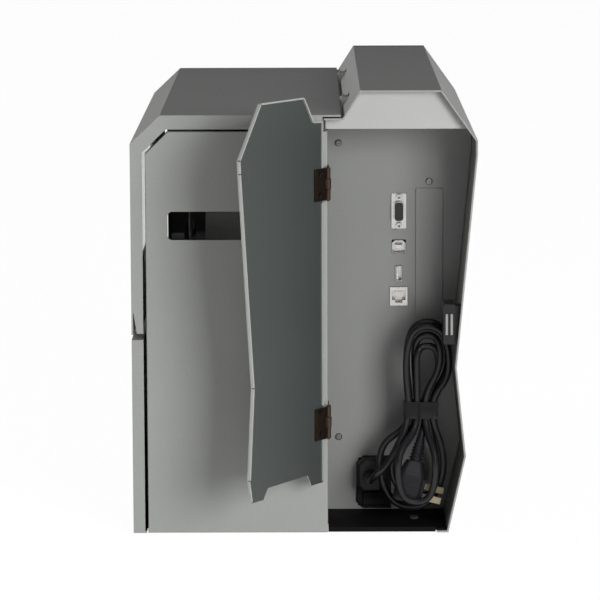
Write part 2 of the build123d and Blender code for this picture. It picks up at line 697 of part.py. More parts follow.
def power_rocker():
    """Two faced rocker on its cross pin."""
    y = COMPARTMENT_Y + ROCKER_AXIS_Y
    lean = tan(radians(ROCKER_SWING)) * ROCKER_TALL / 2
    top = 3.2
    points = [(y - 4.5, ROCKER_Z - 3.5), (y - 4.5, ROCKER_Z + 3.5), (y - 1, ROCKER_Z + ROCKER_TALL / 2 - 0.3),
              (y + top + lean, ROCKER_Z + ROCKER_TALL / 2 - 0.6), (y + top, ROCKER_Z),
              (y + top + lean, ROCKER_Z - ROCKER_TALL / 2 + 0.6), (y - 1, ROCKER_Z - ROCKER_TALL / 2 + 0.3)]
    x0, x1 = INLET_X - ROCKER_WIDE / 2 + 0.2, INLET_X + ROCKER_WIDE / 2 - 0.2
    return along(points, x0, x1)


def catch_body():
    """Black holder of the door magnet, on a foot that follows the sloping wall."""
    y1 = DOOR_AXIS_Y - 0.3
    block = span(CATCH_X0, CATCH_X1, REAR - 22, y1 - 0.8, CATCH_Z0, CATCH_Z1)
    inset = SHEET + 0.1
    foot = [(CATCH_X0 + 1, CATCH_Z0 + 3), (wall_x(CATCH_Z0 + 3, inset), CATCH_Z0 + 3),
            (wall_x(CATCH_Z1 - 3, inset), CATCH_Z1 - 3), (CATCH_X0 + 1, CATCH_Z1 - 3)]
    block += across(foot, REAR - 20, REAR - 6)
    for x in POLE_X:
        block -= span(x - POLE - 0.02, x + POLE + 0.02, REAR - 4, y1 + 1, CATCH_Z0 + 8, CATCH_Z1 - 8)
    return block


def catch_poles():
    """Two bright pole strips of the magnet."""
    y1 = DOOR_AXIS_Y - 0.3
    return Compound([span(x - POLE, x + POLE, REAR - 3.9, y1, CATCH_Z0 + 8.2, CATCH_Z1 - 8.2)
                     for x in POLE_X])


def door_outline():
    """Outline of the closed door as distance from the hinge axis and height, clockwise."""
    return [(DOOR_HINGE_EDGE, DOOR_BOTTOM), (DOOR_HINGE_EDGE, LEDGE_TOP - 1),
            (21.9, LEDGE_TOP), (35.8, HUMP_TOP - 2.3), (98.0, HUMP_TOP - 2.3),
            (DOOR_REACH, 336.2), (DOOR_REACH - 0.6, 325.0), (110.0, WAIST_Z), (116.0, BULGE_Z),
            (112.0, DOOR_BOTTOM), (94.9, DOOR_BOTTOM), (88.4, DOOR_BOTTOM + 9.0),
            (30.2, DOOR_BOTTOM + 9.8), (24.4, DOOR_BOTTOM)]


def opened(shape):
    """Turn a piece of the closed door to the angle at which the door stands."""
    axis = Axis((DOOR_AXIS_X, DOOR_AXIS_Y, 0), (0, 0, 1))
    return shape.rotate(axis, -DOOR_OPEN)


def rear_door():
    """Sheet door with turned edges, open corners and a cable notch, standing open."""
    outline = [(DOOR_AXIS_X - w, z) for w, z in door_outline()]
    y_in = DOOR_AXIS_Y + LEAF / 2
    y_out = y_in + SHEET
    door = across(outline, y_in, y_out)
    door = fillet([e for e in door.edges() if abs(e.center().Y - y_out) < 0.01], 0.7)
    inner = beside(outline, SHEET, closed=True)
    rim = across(outline, y_out - DOOR_DEPTH, y_in + 0.2)
    rim -= across(inner, y_out - DOOR_DEPTH - 1, y_in + 1)
    for x, z in outline:
        rim -= Pos(x, y_in - DOOR_DEPTH / 2 - 0.5, z) * Rot(90, 0, 0) * Cylinder(2.6, DOOR_DEPTH)
    for z in LEAF_Z:
        x = DOOR_AXIS_X - DOOR_HINGE_EDGE
        rim -= span(x - 4, x + 2, y_out - DOOR_DEPTH - 1, y_in, z - LEAF_LONG / 2 - 1, z + LEAF_LONG / 2 + 1)
    return opened(door + rim)


def knuckle(z0, z1, radius):
    """Rolled part of a door hinge round its pin's bore."""
    return rod_z(z0, z1, DOOR_AXIS_X, DOOR_AXIS_Y, radius)


def leaf_screw_z(z):
    """Heights of a leaf's screws."""
    return (z - LEAF_LONG / 3, z + LEAF_LONG / 3)


def door_hinge_leaves():
    """Fixed leaves on the wall of the compartment, each with its middle knuckle."""
    leaves = []
    for z in LEAF_Z:
        third = LEAF_LONG / 3 - 0.2
        leaf = span(SPINE_X - LEAF - 0.02, SPINE_X - 0.02, REAR - 18, DOOR_AXIS_Y - 2,
                    z - LEAF_LONG / 2, z + LEAF_LONG / 2)
        leaf -= span(SPINE_X - 4, SPINE_X + 4, REAR + 2.5, REAR + 10, z + third / 2, z + 20)
        leaf -= span(SPINE_X - 4, SPINE_X + 4, REAR + 2.5, REAR + 10, z - 20, z - third / 2)
        leaf += knuckle(z - third / 2, z + third / 2, ROLL)
        leaf -= knuckle(z - 20, z + 20, PIN_RADIUS + PIN_CLEARANCE)
        for zs in leaf_screw_z(z):
            leaf += rod_x(SPINE_X - LEAF - 1.2, SPINE_X - LEAF, REAR - 11, zs, 2.6)
        leaves.append(leaf)
    return Compound([s for leaf in leaves for s in leaf.solids()])


def door_hinge_plates():
    """Moving leaves on the inner face of the door, with outer knuckles, pins and screws."""
    plates = []
    for z in LEAF_Z:
        third = LEAF_LONG / 3 - 0.2
        y = DOOR_AXIS_Y
        plate = span(DOOR_AXIS_X - LEAF_WIDE - 2, DOOR_AXIS_X - 1.4, y - LEAF / 2, y + LEAF / 2 - 0.02,
                     z - LEAF_LONG / 2, z + LEAF_LONG / 2)
        plate -= span(DOOR_AXIS_X - 4, DOOR_AXIS_X + 4, y - 4, y + 4, z - third / 2 - 0.4, z + third / 2 + 0.4)
        for side in (-1, 1):
            plate += knuckle(z + side * (third / 2 + 0.4), z + side * LEAF_LONG / 2, ROLL - 0.5)
        plate += knuckle(z - LEAF_LONG / 2 - 1.2, z + LEAF_LONG / 2 + 1.2, PIN_RADIUS)
        for zs in leaf_screw_z(z):
            plate += rod_y(y - LEAF / 2 - 1.3, y, DOOR_AXIS_X - 12, zs, 2.6)
        plates.append(opened(plate))
    return Compound([s for plate in plates for s in plate.solids()])


def cover_hinge_arms():
    """Goose neck arms under the cover's top, each with its knuckle in the hump's cut-out."""
    arms = []
    top = COVER_TOP - SHEET - 0.1
    low = top - HINGE_TAB
    for y in COVER_HINGE_Y:
        half = COVER_HINGE_LONG / 2 - 4.0
        neck = [(COVER_AXIS_X - 1.6, COVER_AXIS_Z), (COVER_AXIS_X - 1.6, low), (-8.0, low), (-8.0, top),
                (COVER_AXIS_X + 1.6, top), (COVER_AXIS_X + 1.6, COVER_AXIS_Z)]
        arm = across(neck, y - half, y + half)
        arm += rod_y(y - half, y + half, COVER_AXIS_X, COVER_AXIS_Z, KNUCKLE_RADIUS)
        arm -= rod_y(y - 30, y + 30, COVER_AXIS_X, COVER_AXIS_Z, 1.5 + PIN_CLEARANCE)
        arms.append(arm)
    return Compound([s for arm in arms for s in arm.solids()])


def cover_hinge_brackets():
    """Brackets inside the hump, two cheeks and a pin for each cover hinge."""
    brackets = []
    inner = HUMP_LEFT - 0.5
    for y in COVER_HINGE_Y:
        half = COVER_HINGE_LONG / 2 - 0.5
        cheek_line = [(inner, LEDGE_TOP - 14), (BULKHEAD_X - 0.1, LEDGE_TOP - 14),
                      (BULKHEAD_X - 0.1, LEDGE_TOP - 9), (COVER_AXIS_X + 3, LEDGE_TOP - 4),
                      (COVER_AXIS_X + 2.6, COVER_AXIS_Z + 1.5), (COVER_AXIS_X - 2.6, COVER_AXIS_Z + 2.6),
                      (inner, LEDGE_TOP + 2)]
        bracket = across(cheek_line, y - half, y - half + 3) + across(cheek_line, y + half - 3, y + half)
        bracket += span(inner, BULKHEAD_X - 0.1, y - half, y + half, LEDGE_TOP - 14, LEDGE_TOP - 12)
        bracket += rod_y(y - half, y + half, COVER_AXIS_X, COVER_AXIS_Z, 1.5)
        brackets.append(bracket)
    return Compound([s for bracket in brackets for s in bracket.solids()])


def ring_x(x0, x1, y, z, outer, inner):
    """A tube along X."""
    return rod_x(x0, x1, y, z, outer) - rod_x(x0 - 1, x1 + 1, y, z, inner)


def supply_spindle():
    """Fixed shaft of the label roll, with its mounting flange, stub and end groove."""
    shaft = rod_x(BULKHEAD_FACE + 0.1, SPINDLE_END, SUPPLY_Y, SUPPLY_Z, SPINDLE_RADIUS)
    shaft = chamfer(shaft.edges().sort_by(Axis.X)[-1], 1.5)
    shaft += rod_x(BULKHEAD_FACE + 0.05, BULKHEAD_FACE + 1.6, SUPPLY_Y, SUPPLY_Z, SPINDLE_RADIUS + 12)
    shaft += rod_x(BULKHEAD_X - 4, BULKHEAD_FACE + 1, SUPPLY_Y, SUPPLY_Z, STUB_RADIUS - 0.03)
    return shaft


def supply_hub():
    """Turning core holder: a sleeve with three wings and a rim that the core seats against."""
    x0, x1 = ROLL_X0, ROLL_X0 + ROLL_WIDTH - 4
    bore = SPINDLE_RADIUS + RUNNING
    hub = rod_x(x0, x1, SUPPLY_Y, SUPPLY_Z, bore + 3)
    reach = CORE_RADIUS - 0.4
    ring = rod_x(x0, x1, SUPPLY_Y, SUPPLY_Z, reach) - rod_x(x0 - 1, x1 + 1, SUPPLY_Y, SUPPLY_Z, reach - 2.5)
    for i in range(3):
        turn = Pos(0, SUPPLY_Y, SUPPLY_Z) * Rot(120 * i, 0, 0)
        hub += turn * Pos((x0 + x1) / 2, 0, (bore + reach) / 2 + 0.5) * Box(x1 - x0, 3, reach - bore - 2)
        ring -= turn * Pos(x0 + 5, 0, -reach) * Box(x1 - x0 + 20, 26, 14)
    hub += ring
    return hub - rod_x(x0 - 2, x1 + 2, SUPPLY_Y, SUPPLY_Z, bore)


def roll_core():
    """Cardboard core of the label roll."""
    return ring_x(ROLL_X0 + 0.2, ROLL_X0 + ROLL_WIDTH - 0.2, SUPPLY_Y, SUPPLY_Z,
                  CORE_RADIUS + CORE_WALL, CORE_RADIUS)


def label_roll():
    """Wound label stock with slightly dished edges."""
    x0, x1 = ROLL_X0, ROLL_X0 + ROLL_WIDTH
    inner = CORE_RADIUS + CORE_WALL + 0.02
    profile = [(x0, inner), (x1, inner), (x1 + 0.5, (inner + ROLL_RADIUS) / 2),
               (x1, ROLL_RADIUS), (x0, ROLL_RADIUS), (x0 + 0.5, (inner + ROLL_RADIUS) / 2)]
    face = Plane.XY * make_face(Polyline(*profile, close=True))
    return Pos(0, SUPPLY_Y, SUPPLY_Z) * revolve(face, Axis.X)


def roll_guide():
    """Sliding guide: a thin arm above a round hub that grips the spindle."""
    x1 = GUIDE_X + GUIDE_PLATE
    disc = rod_x(GUIDE_X, x1, SUPPLY_Y, SUPPLY_Z, 30)
    arm = span(GUIDE_X, x1, SUPPLY_Y - GUIDE_ARM / 2, SUPPLY_Y + GUIDE_ARM / 2,
               SUPPLY_Z, SUPPLY_Z + GUIDE_REACH)
    arm = fillet(arm.edges().filter_by(Axis.X).group_by(Axis.Z)[-1], 12)
    body = disc + arm + rod_x(GUIDE_X, GUIDE_X + 8, SUPPLY_Y, SUPPLY_Z, SPINDLE_RADIUS + 5)
    ribs = [span(x1 - 0.2, x1 + 2, SUPPLY_Y + s * 11 - 1, SUPPLY_Y + s * 11 + 1, SUPPLY_Z + 12,
                 SUPPLY_Z + GUIDE_REACH - 14) for s in (-1, 1)]
    body = body + ribs
    return body - rod_x(GUIDE_X - 5, GUIDE_X + 20, SUPPLY_Y, SUPPLY_Z, SPINDLE_RADIUS + RUNNING)


def ribbon_spindle(y):
    """Turning ribbon spindle: shaft through the bulkhead, rear disc and three ribbed blades."""
    x1 = RIBBON_X0 + RIBBON_WIDTH + 6
    body = rod_x(BULKHEAD_X - 8, x1, y, RIBBON_Z, RIBBON_SHAFT)
    body += rod_x(RIBBON_X0 - 3, RIBBON_X0 - 0.6, y, RIBBON_Z, SPINDLE_FLANGE)
    sleeve = rod_x(RIBBON_X0 - 2, x1 - 4, y, RIBBON_Z, RIBBON_CORE - 0.8)
    for i in range(3):
        turn = Pos(0, y, RIBBON_Z) * Rot(120 * i, 0, 0)
        sleeve -= turn * Pos(RIBBON_WIDTH / 2, 0, RIBBON_CORE) * Box(RIBBON_WIDTH + 40, 5, 6)
    sleeve = sleeve + rod_x(x1 - 5, x1, y, RIBBON_Z, RIBBON_CORE - 2)
    return body + sleeve


def ribbon_roll():
    """Wound ribbon on its core."""
    return ring_x(RIBBON_X0, RIBBON_X0 + RIBBON_WIDTH, RIBBON_SUPPLY_Y, RIBBON_Z,
                  RIBBON_RADIUS, RIBBON_CORE)


def platen_roller():
    """Rubber covered roller with its journals."""
    x0, x1 = ROLL_X0 + 2.5, ROLL_X0 + 2.5 + MEDIA_WIDTH
    body = rod_x(x0, x1, PLATEN_Y, PLATEN_Z, PLATEN_RADIUS)
    body = fillet(body.edges(), 0.5)
    return body + rod_x(GEAR_X0 - 1, FRAME_X1 + 1.5, PLATEN_Y, PLATEN_Z, PLATEN_SHAFT)


def platen_bushes():
    """Flanged bronze bushes in the bulkhead and in the outer plate of the print frame."""
    bore = PLATEN_SHAFT + RUNNING
    inner = ring_x(BULKHEAD_X, BULKHEAD_FACE + 0.2, PLATEN_Y, PLATEN_Z, BUSH_RADIUS - 0.03, bore)
    inner += ring_x(BULKHEAD_FACE + 0.05, BULKHEAD_FACE + 1.4, PLATEN_Y, PLATEN_Z, BUSH_RADIUS + 2, bore)
    x0 = FRAME_X1 - FRAME_PLATE
    outer = ring_x(x0 - 0.5, FRAME_X1, PLATEN_Y, PLATEN_Z, BUSH_RADIUS - 0.03, bore)
    outer += ring_x(x0 - 1.3, x0 - 0.05, PLATEN_Y, PLATEN_Z, BUSH_RADIUS + 2, bore)
    return Compound(list(inner.solids()) + list(outer.solids()))


def print_frame():
    """Cast frame of the print station: outer plate, feet, cross members and bearing arms."""
    x0 = FRAME_X1 - FRAME_PLATE
    plate = along([(-217, FLOOR_Z + 0.1), (-104, FLOOR_Z + 0.1), (-104, 128), (-121, 221), (-185, 221),
                   (-185, 176), (-217, 176)], x0, FRAME_X1)
    plate = fillet(plate.edges().filter_by(Axis.X).group_by(Axis.Z)[-1], 9)
    plate -= along([(-203, 24), (-150, 24), (-150, 132), (-170, 132), (-203, 110)], x0 - 1, FRAME_X1 + 1)
    plate -= along([(-140, 24), (-117, 24), (-117, 110), (-140, 132)], x0 - 1, FRAME_X1 + 1)
    plate -= along([(-171, 178), (-140, 178), (-145, 192), (-162, 192)], x0 - 1, FRAME_X1 + 1)
    body = plate + span(CROSS_X0, x0 + 0.5, -214, -108, FLOOR_Z + 0.1, FLOOR_Z + 6)
    body += span(CROSS_X0, x0 + 0.5, -186, -106, GUIDE_Z - 12, GUIDE_Z - 6)
    body += span(CROSS_X0, x0 + 0.5, -217, -213, FLOOR_Z + 4, PLATEN_Z - 14)
    body += span(CROSS_X0, CROSS_X0 + 3, -217, -106, FLOOR_Z + 0.1, GUIDE_Z - 6)
    body -= rod_x(x0 - 1, FRAME_X1 + 1, PLATEN_Y, PLATEN_Z, BUSH_RADIUS)
    body -= rod_x(CROSS_X0 - 1, CROSS_X0 + 5, PLATEN_Y, PLATEN_Z, BUSH_RADIUS + 5)
    body -= rod_x(x0 - 1, FRAME_X1 + 1, LATCH_Y, LATCH_Z, LATCH_SHAFT + RUNNING)
    return body - rod_x(x0 - 1, FRAME_X1 + 1, HEAD_PIVOT_Y, HEAD_PIVOT_Z, 4 + RUNNING)


def media_guide():
    """Bent guide plate under the label path, with a rounded entry lip and two stiffening beads."""
    x0, x1 = CROSS_X0 + 4, FRAME_X1 - FRAME_PLATE - 1
    plate = along([(-149.5, GUIDE_Z - 1.5), (-149.5, GUIDE_Z), (-106, GUIDE_Z), (-96, GUIDE_Z - 4),
                   (-92, GUIDE_Z - 12), (-93.5, GUIDE_Z - 12.5), (-97, GUIDE_Z - 5.2),
                   (-106.3, GUIDE_Z - 1.5)], x0, x1)
    for y in (-140, -116):
        plate += span(x0 + 6, x1 - 6, y - 2, y + 2, GUIDE_Z - 5.95, GUIDE_Z - 1)
    return plate


def edge_guide():
    """Small sliding guide at the free edge of the labels, with a thumb tab."""
    x = EDGE_GUIDE_X
    body = span(x, x + 12, -132, -122, GUIDE_Z + 0.3, GUIDE_Z + 3)
    body += span(x, x + 2.5, -146, -110, GUIDE_Z + 0.3, GUIDE_Z + 9)
    return fillet(body.edges().filter_by(Axis.X).group_by(Axis.Z)[-1], 3)


def rfid_antenna():
    """Flat encoder antenna under the label path, with its printed loop standing proud."""
    x0, x1 = CROSS_X0 + 16, FRAME_X1 - FRAME_PLATE - 14
    body = span(x0, x1, -184, -152, GUIDE_Z - 5.9, GUIDE_Z - 1.2)
    loop = span(x0 + 6, x1 - 6, -180, -156, GUIDE_Z - 1.3, GUIDE_Z - 0.6)
    return body + (loop - span(x0 + 9, x1 - 9, -177, -159, GUIDE_Z - 3, GUIDE_Z + 1))


def tear_bar():
    """Serrated edge in front of the platen, screwed to the frame."""
    x0, x1 = CROSS_X0 + 4, FRAME_X1 - FRAME_PLATE - 0.5
    bar = along([(-217.2, PLATEN_Z - 24), (-217.2, PLATEN_TOP - 9), (-214, PLATEN_TOP - 3.5),
                 (-217.5, PLATEN_TOP - 2.4), (-219.5, PLATEN_TOP - 7), (-219.5, PLATEN_Z - 24)], x0, x1)
    for i in range(int((x1 - x0 - 4) / TOOTH)):
        notch = Pos(x0 + 4 + i * TOOTH, -215.5, PLATEN_TOP - 1.6) * Rot(0, 45, 0) * Box(1.4, 6, 1.4)
        bar -= notch
    return bar


def damper_bar():
    """Round guide bar for the labels, with a collar at the bulkhead and an end disc."""
    bar = rod_x(BULKHEAD_FACE + 0.1, 114, DAMPER_Y, DAMPER_Z, 5)
    bar += rod_x(BULKHEAD_FACE + 0.1, BULKHEAD_FACE + 3, DAMPER_Y, DAMPER_Z, 12)
    return bar + rod_x(112, 114, DAMPER_Y, DAMPER_Z, 13)


def printhead_carrier():
    """Pivoting carrier: shaft, two arms, ribbed beam and the pads that the cams press on."""
    body = rod_x(BULKHEAD_FACE + 0.2, FRAME_X1 + 1, HEAD_PIVOT_Y, HEAD_PIVOT_Z, 4)
    boss = rod_x(HEAD_X0, HEAD_X1, HEAD_PIVOT_Y, HEAD_PIVOT_Z, 7.5)
    body += boss
    arm = [(-124, 203), (-134, 214), (-150, 200), (-160, CARRIER_TOP), (-212, CARRIER_TOP),
           (-212, 180), (-186, 178.6), (-160, 181), (-140, 198)]
    body += along(arm, HEAD_X0, HEAD_X0 + 6) + along(arm, HEAD_X1 - 6, HEAD_X1)
    beam = [(-212, 178.4), (-212, CARRIER_TOP), (-209, CARRIER_TOP), (-209, 181.4), (-166, 181.4),
            (-166, CARRIER_TOP), (-163, CARRIER_TOP), (-163, 178.4)]
    body += along(beam, HEAD_X0, HEAD_X1)
    for i in range(1, 8):
        x = HEAD_X0 + i * (HEAD_X1 - HEAD_X0) / 8
        body += span(x - 1, x + 1, -209.5, -165.5, 181, CARRIER_TOP - 3)
    for x in CAM_X:
        body += span(x - 6, x + 6, LATCH_Y - 9, LATCH_Y + 9, 181, CARRIER_TOP)
    return body


def thermal_head():
    """Ceramic line head on its aluminium bar, with the glass bead over the platen."""
    body = span(HEAD_X0 + 1, HEAD_X1 - 1, -211, -187, 172.6, 178.3)
    bead = rod_x(HEAD_X0 + 3, HEAD_X1 - 3, PLATEN_Y, PLATEN_TOP + 2.0, 1.7)
    step = span(HEAD_X0 + 1, HEAD_X1 - 1, -207, -191, 171.4, 173)
    return body + step + bead


def cam(x):
    """Snail cam whose reach below the shaft shrinks evenly as the lever turns."""
    steps = 12
    points = []
    for i in range(steps + 1):
        share = i / steps
        turn = radians(-90 - share * (LATCH_TURN + 8))
        reach = CAM_REACH - CAM_DROP * share * (LATCH_TURN + 8) / LATCH_TURN
        points.append((LATCH_Y + reach * cos(turn), LATCH_Z + reach * sin(turn)))
    for i in range(1, steps):
        turn = radians(-188 - i * (360 - 98) / steps)
        points.append((LATCH_Y + 7.0 * cos(turn), LATCH_Z + 7.0 * sin(turn)))
    return along(points, x - 4, x + 4)


def latch_lever():
    """Latch shaft with two cams and the lever with its round grip."""
    x1 = FRAME_X1 + 2
    body = rod_x(BULKHEAD_FACE + 0.2, x1 + 4, LATCH_Y, LATCH_Z, LATCH_SHAFT)
    for x in CAM_X:
        body += cam(x)
    arm = span(x1, x1 + 4, LATCH_Y - 2, LATCH_Y + LEVER, LATCH_Z - 5, LATCH_Z + 5)
    arm = fillet(arm.edges().filter_by(Axis.X).group_by(Axis.Y)[-1], 4.5)
    body += arm + rod_x(x1, x1 + 4, LATCH_Y, LATCH_Z, 8)
    grip = rod_x(x1, x1 + 14, LATCH_Y + LEVER - 5, LATCH_Z, 7)
    return body + fillet(grip.edges(), 1.5)


def gear(teeth, y, z, phase, x0, wide, bore):
    """Spur gear with involute flanks. Phase is the direction of one tooth, from +Y to +Z."""
    pitch = MODULE * teeth / 2
    base = pitch * cos(radians(20))
    tip, root = pitch + MODULE, pitch - 1.25 * MODULE
    half = (pi * MODULE / 2 - BACKLASH) / 2 / pitch
    start = tan(radians(20)) - radians(20)
    points = []
    for i in range(teeth):
        middle = radians(phase) + 2 * pi * i / teeth
        flank = []
        for step in range(4):
            radius = max(base, root) + (tip - max(base, root)) * step / 3
            spread = sqrt((radius / base) ** 2 - 1)
            flank.append((radius, half + start - (spread - atan2(spread, 1))))
        flank.insert(0, (root, flank[0][1] + 0.02))
        points += [(r * cos(middle - a), r * sin(middle - a)) for r, a in flank]
        points += [(r * cos(middle + a), r * sin(middle + a)) for r, a in flank[::-1]]
    body = along(points, x0, x0 + wide)
    return Pos(0, y, z) * (body - rod_x(x0 - 1, x0 + wide + 1, 0, 0, bore))


def gear_places():
    """Centres and tooth directions of the platen gear, the idler and the pinion."""
    reach = MODULE * (PLATEN_TEETH + IDLER_TEETH) / 2
    a = radians(IDLER_ANGLE)
    idler = (PLATEN_Y + reach * cos(a), PLATEN_Z + reach * sin(a))
    idler_phase = IDLER_ANGLE + 180 + 180 / IDLER_TEETH
    reach = MODULE * (IDLER_TEETH + PINION_TEETH) / 2
    b = radians(PINION_ANGLE)
    pinion = (idler[0] + reach * cos(b), idler[1] + reach * sin(b))
    off = (PINION_ANGLE - idler_phase) % (360 / IDLER_TEETH)
    pinion_phase = PINION_ANGLE + 180 + off * IDLER_TEETH / PINION_TEETH + 180 / PINION_TEETH
    return idler, idler_phase, pinion, pinion_phase


def platen_gear():
    """Gear on the platen's inner journal."""
    body = gear(PLATEN_TEETH, PLATEN_Y, PLATEN_Z, IDLER_ANGLE, GEAR_X0, GEAR_WIDE, PLATEN_SHAFT + 0.02)
    return body + ring_x(GEAR_X0 + GEAR_WIDE - 0.1, GEAR_X0 + GEAR_WIDE + 3, PLATEN_Y, PLATEN_Z,
                         PLATEN_SHAFT + 3, PLATEN_SHAFT + 0.02)


def idler_gear():
    """Idler gear, lightened by five round holes."""
    (y, z), phase, _, _ = gear_places()
    body = gear(IDLER_TEETH, y, z, phase, GEAR_X0, GEAR_WIDE, IDLER_PIN + RUNNING)
    for i in range(5):
        turn = radians(72 * i)
        body -= rod_x(GEAR_X0 - 1, GEAR_X0 + 10, y + 11.5 * cos(turn), z + 11.5 * sin(turn), 3.6)
    return body


def motor_pinion():
    """Pinion on the motor's shaft."""
    _, _, (y, z), phase = gear_places()
    return gear(PINION_TEETH, y, z, phase, GEAR_X0, GEAR_WIDE, MOTOR_SHAFT + 0.02)


def drive_motor():
    """Stepping motor on its plate, which stands off the bulkhead and holds the idler's pin."""
    (iy, iz), _, (y, z), _ = gear_places()
    body = Plane.YZ * RectangleRounded(MOTOR, MOTOR, 5)
    motor = Pos(MOTOR_FACE_X - MOTOR_LONG, y, z) * extrude(body, amount=MOTOR_LONG)
    plate = span(MOTOR_FACE_X - 0.1, MOTOR_FACE_X + 2, iy - 8, y + 26, z - 27, iz + 8)
    motor += plate + rod_x(MOTOR_FACE_X, BULKHEAD_X - 0.1, iy, iz, IDLER_PIN)
    for dy, dz in ((21, -22), (21, 16), (-4, -22)):
        motor += rod_x(MOTOR_FACE_X, BULKHEAD_X - 0.1, y + dy, z + dz, 3.5)
    return motor


def motor_shaft():
    """Turning shaft of the motor, carrying the pinion."""
    _, _, (y, z), _ = gear_places()
    return rod_x(MOTOR_FACE_X + 2.3, GEAR_X0 + GEAR_WIDE + 1, y, z, MOTOR_SHAFT)


def main_board():
    """Circuit board beside the ports, with its parts and four posts to the bulkhead."""
    y1 = COMPARTMENT_Y - SHEET - 10
    board = span(BOARD_X, BOARD_X + 1.6, BOARD_Y0, y1, BOARD_Z0, BOARD_Z1)
    board += span(BOARD_X + 1.5, BOARD_X + 12, 52, 92, 236, 276)
    for i in range(6):
        board += span(BOARD_X + 11.5, BOARD_X + 20, 54 + i * 7, 55.5 + i * 7, 238, 274)
    board += span(BOARD_X + 1.5, BOARD_X + 5, 20, 42, 200, 222)
    for y in (60, 84, 108):
        board += rod_x(BOARD_X + 1.5, BOARD_X + 17, y, 200, 6)
    for y in (BOARD_Y0 + 6, y1 - 6):
        for z in (BOARD_Z0 + 6, BOARD_Z1 - 6):
            board += rod_x(BOARD_X + 1, BULKHEAD_X - 0.1, y, z, 3)
    return board


def power_supply():
    """Boxed mains supply on the base, with a vented lid and feet."""
    x0, x1, y0, y1 = -108.0, -40.0, -60.0, 90.0
    box = span(x0, x1, y0, y1, FLOOR_Z + 4, FLOOR_Z + 44)
    for x in (x0 + 8, x1 - 8):
        for y in (y0 + 8, y1 - 8):
            box += rod_z(FLOOR_Z + 0.1, FLOOR_Z + 5, x, y, 4)
    for i in range(9):
        y = y0 + 20 + i * 13
        box -= span(x0 + 12, x1 - 12, y, y + 5, FLOOR_Z + 42.5, FLOOR_Z + 50)
    return box


def arc_pair(start, leave, end, arrive):
    """Two tangent arcs from one point and direction to another."""
    start, end = Vector(*start), Vector(*end)
    leave, arrive = Vector(*leave).normalized(), Vector(*arrive).normalized()
    chord = end - start
    both = leave + arrive
    spread = 2 * (1 - leave.dot(arrive))
    if spread < 1e-6:
        reach = chord.dot(chord) / (4 * chord.dot(arrive))
    else:
        reach = (sqrt(chord.dot(both) ** 2 + 2 * (1 - leave.dot(arrive)) * chord.dot(chord))
                 - chord.dot(both)) / spread
    middle = (start + leave * reach + end - arrive * reach) * 0.5
    turn = (end - arrive * reach - start - leave * reach).normalized()
    edges = []
    for a, way, b in ((start, leave, middle), (middle, turn, end)):
        straight = (b - a).normalized().dot(way) > 1 - 1e-9
        edges.append(Edge.make_line(a, b) if straight else Edge.make_tangent_arc(a, way, b))
    return edges


def hank_points():
    """Places and directions that the hank's cord passes, from the lead to the tail."""
    front, back = HANK_FRONT_Y, HANK_FRONT_Y - LEG_PITCH
    wide, near = LEG_PITCH * 1.5, LEG_PITCH * 0.5
    legs = ((wide, front), (wide, back), (near, back), (near, front))
    up, down = (0, 0, 1), (0, 0, -1)
    passes = [(LEAD_END, LEAD_AIM)]
    for i in range(HANK_LOOPS):
        leg, y = legs[i]
        if i:
            passes.append(((WAIST_MIDDLE_X + leg, y, TIE_Z), up))
        z = TIE_Z + UPPER_WIDEST[i]
        passes.append(((UPPER_X + UPPER_HALF[i], y, z), up))
        passes.append(((UPPER_X, y, UPPER_TOP[i]), (-1, 0, 0)))
        passes.append(((UPPER_X - UPPER_HALF[i], y, z), down))
        passes.append(((WAIST_MIDDLE_X - leg, y, TIE_Z), down))
        if i < HANK_LOOPS - 1:
            y_next = legs[i + 1][1]
            z = TIE_Z - LOWER_WIDEST[i]
            middle = (LOWER_RIGHT[i] + LOWER_LEFT[i]) / 2
            passes.append(((LOWER_RIGHT[i], y, z), down))
            passes.append(((middle, y + (y_next - y) * 0.2, LOWER_BOTTOM[i]), (1, 0, 0)))
            passes.append(((LOWER_LEFT[i], y_next - LOWER_BEHIND[i], z), up))
    passes.append(((WAIST_MIDDLE_X - near, front, TAIL_TOP), down))
    return passes


def hank_path():
    """The hank's centre line."""
    passes = hank_points()
    edges = []
    for (a, way_a), (b, way_b) in zip(passes, passes[1:]):
        edges += arc_pair(a, way_a, b, way_b)
    return Wire(edges)


def swept_cord(path):
    """A round cord along a path."""
    start = path @ 0
    face = Plane(origin=start, z_dir=path % 0) * Circle(CORD / 2)
    return sweep(face, path=path)


def cord_hank():
    """The bundled part of the cord, one unbroken tube."""
    path = hank_path()
    points = [path @ (i / 900) for i in range(901)]
    step = path.length / 900
    skip = int(3 * CORD / step)
    gap = min((points[i] - points[j]).length for i in range(901) for j in range(i + skip, 901, 2))
    print("hank length", round(path.length, 1), "least gap to itself", round(gap - CORD, 2))
    radii = [e.radius for e in path.edges() if e.geom_type == GeomType.CIRCLE]
    print("hank tightest radius", round(min(radii), 1))
    return swept_cord(path)


def route_radii(points):
    """The largest tangent arc that each corner of a route allows."""
    radii = []
    for a, b, c in zip(points, points[1:], points[2:]):
        before, after = Vector(*b) - Vector(*a), Vector(*c) - Vector(*b)
        turn = radians(before.get_angle(after))
        radii.append(0.45 * min(before.length, after.length) / tan(turn / 2))
    return radii


def routed_cord(name, points):
    """A tube along straight runs joined by tangent arcs."""
    radii = route_radii(points)
    path = FilletPolyline(*points, radius=radii)
    tube = swept_cord(path)
    print(name, "radii", [round(r, 1) for r in radii], "length", round(path.length, 1),
          "volume ratio", round(tube.volume / (pi * CORD ** 2 / 4 * path.length), 4))
    return tube


def cord_lead():
    """The cord from the appliance connector up to the tie."""
    return routed_cord("lead", LEAD_ROUTE)


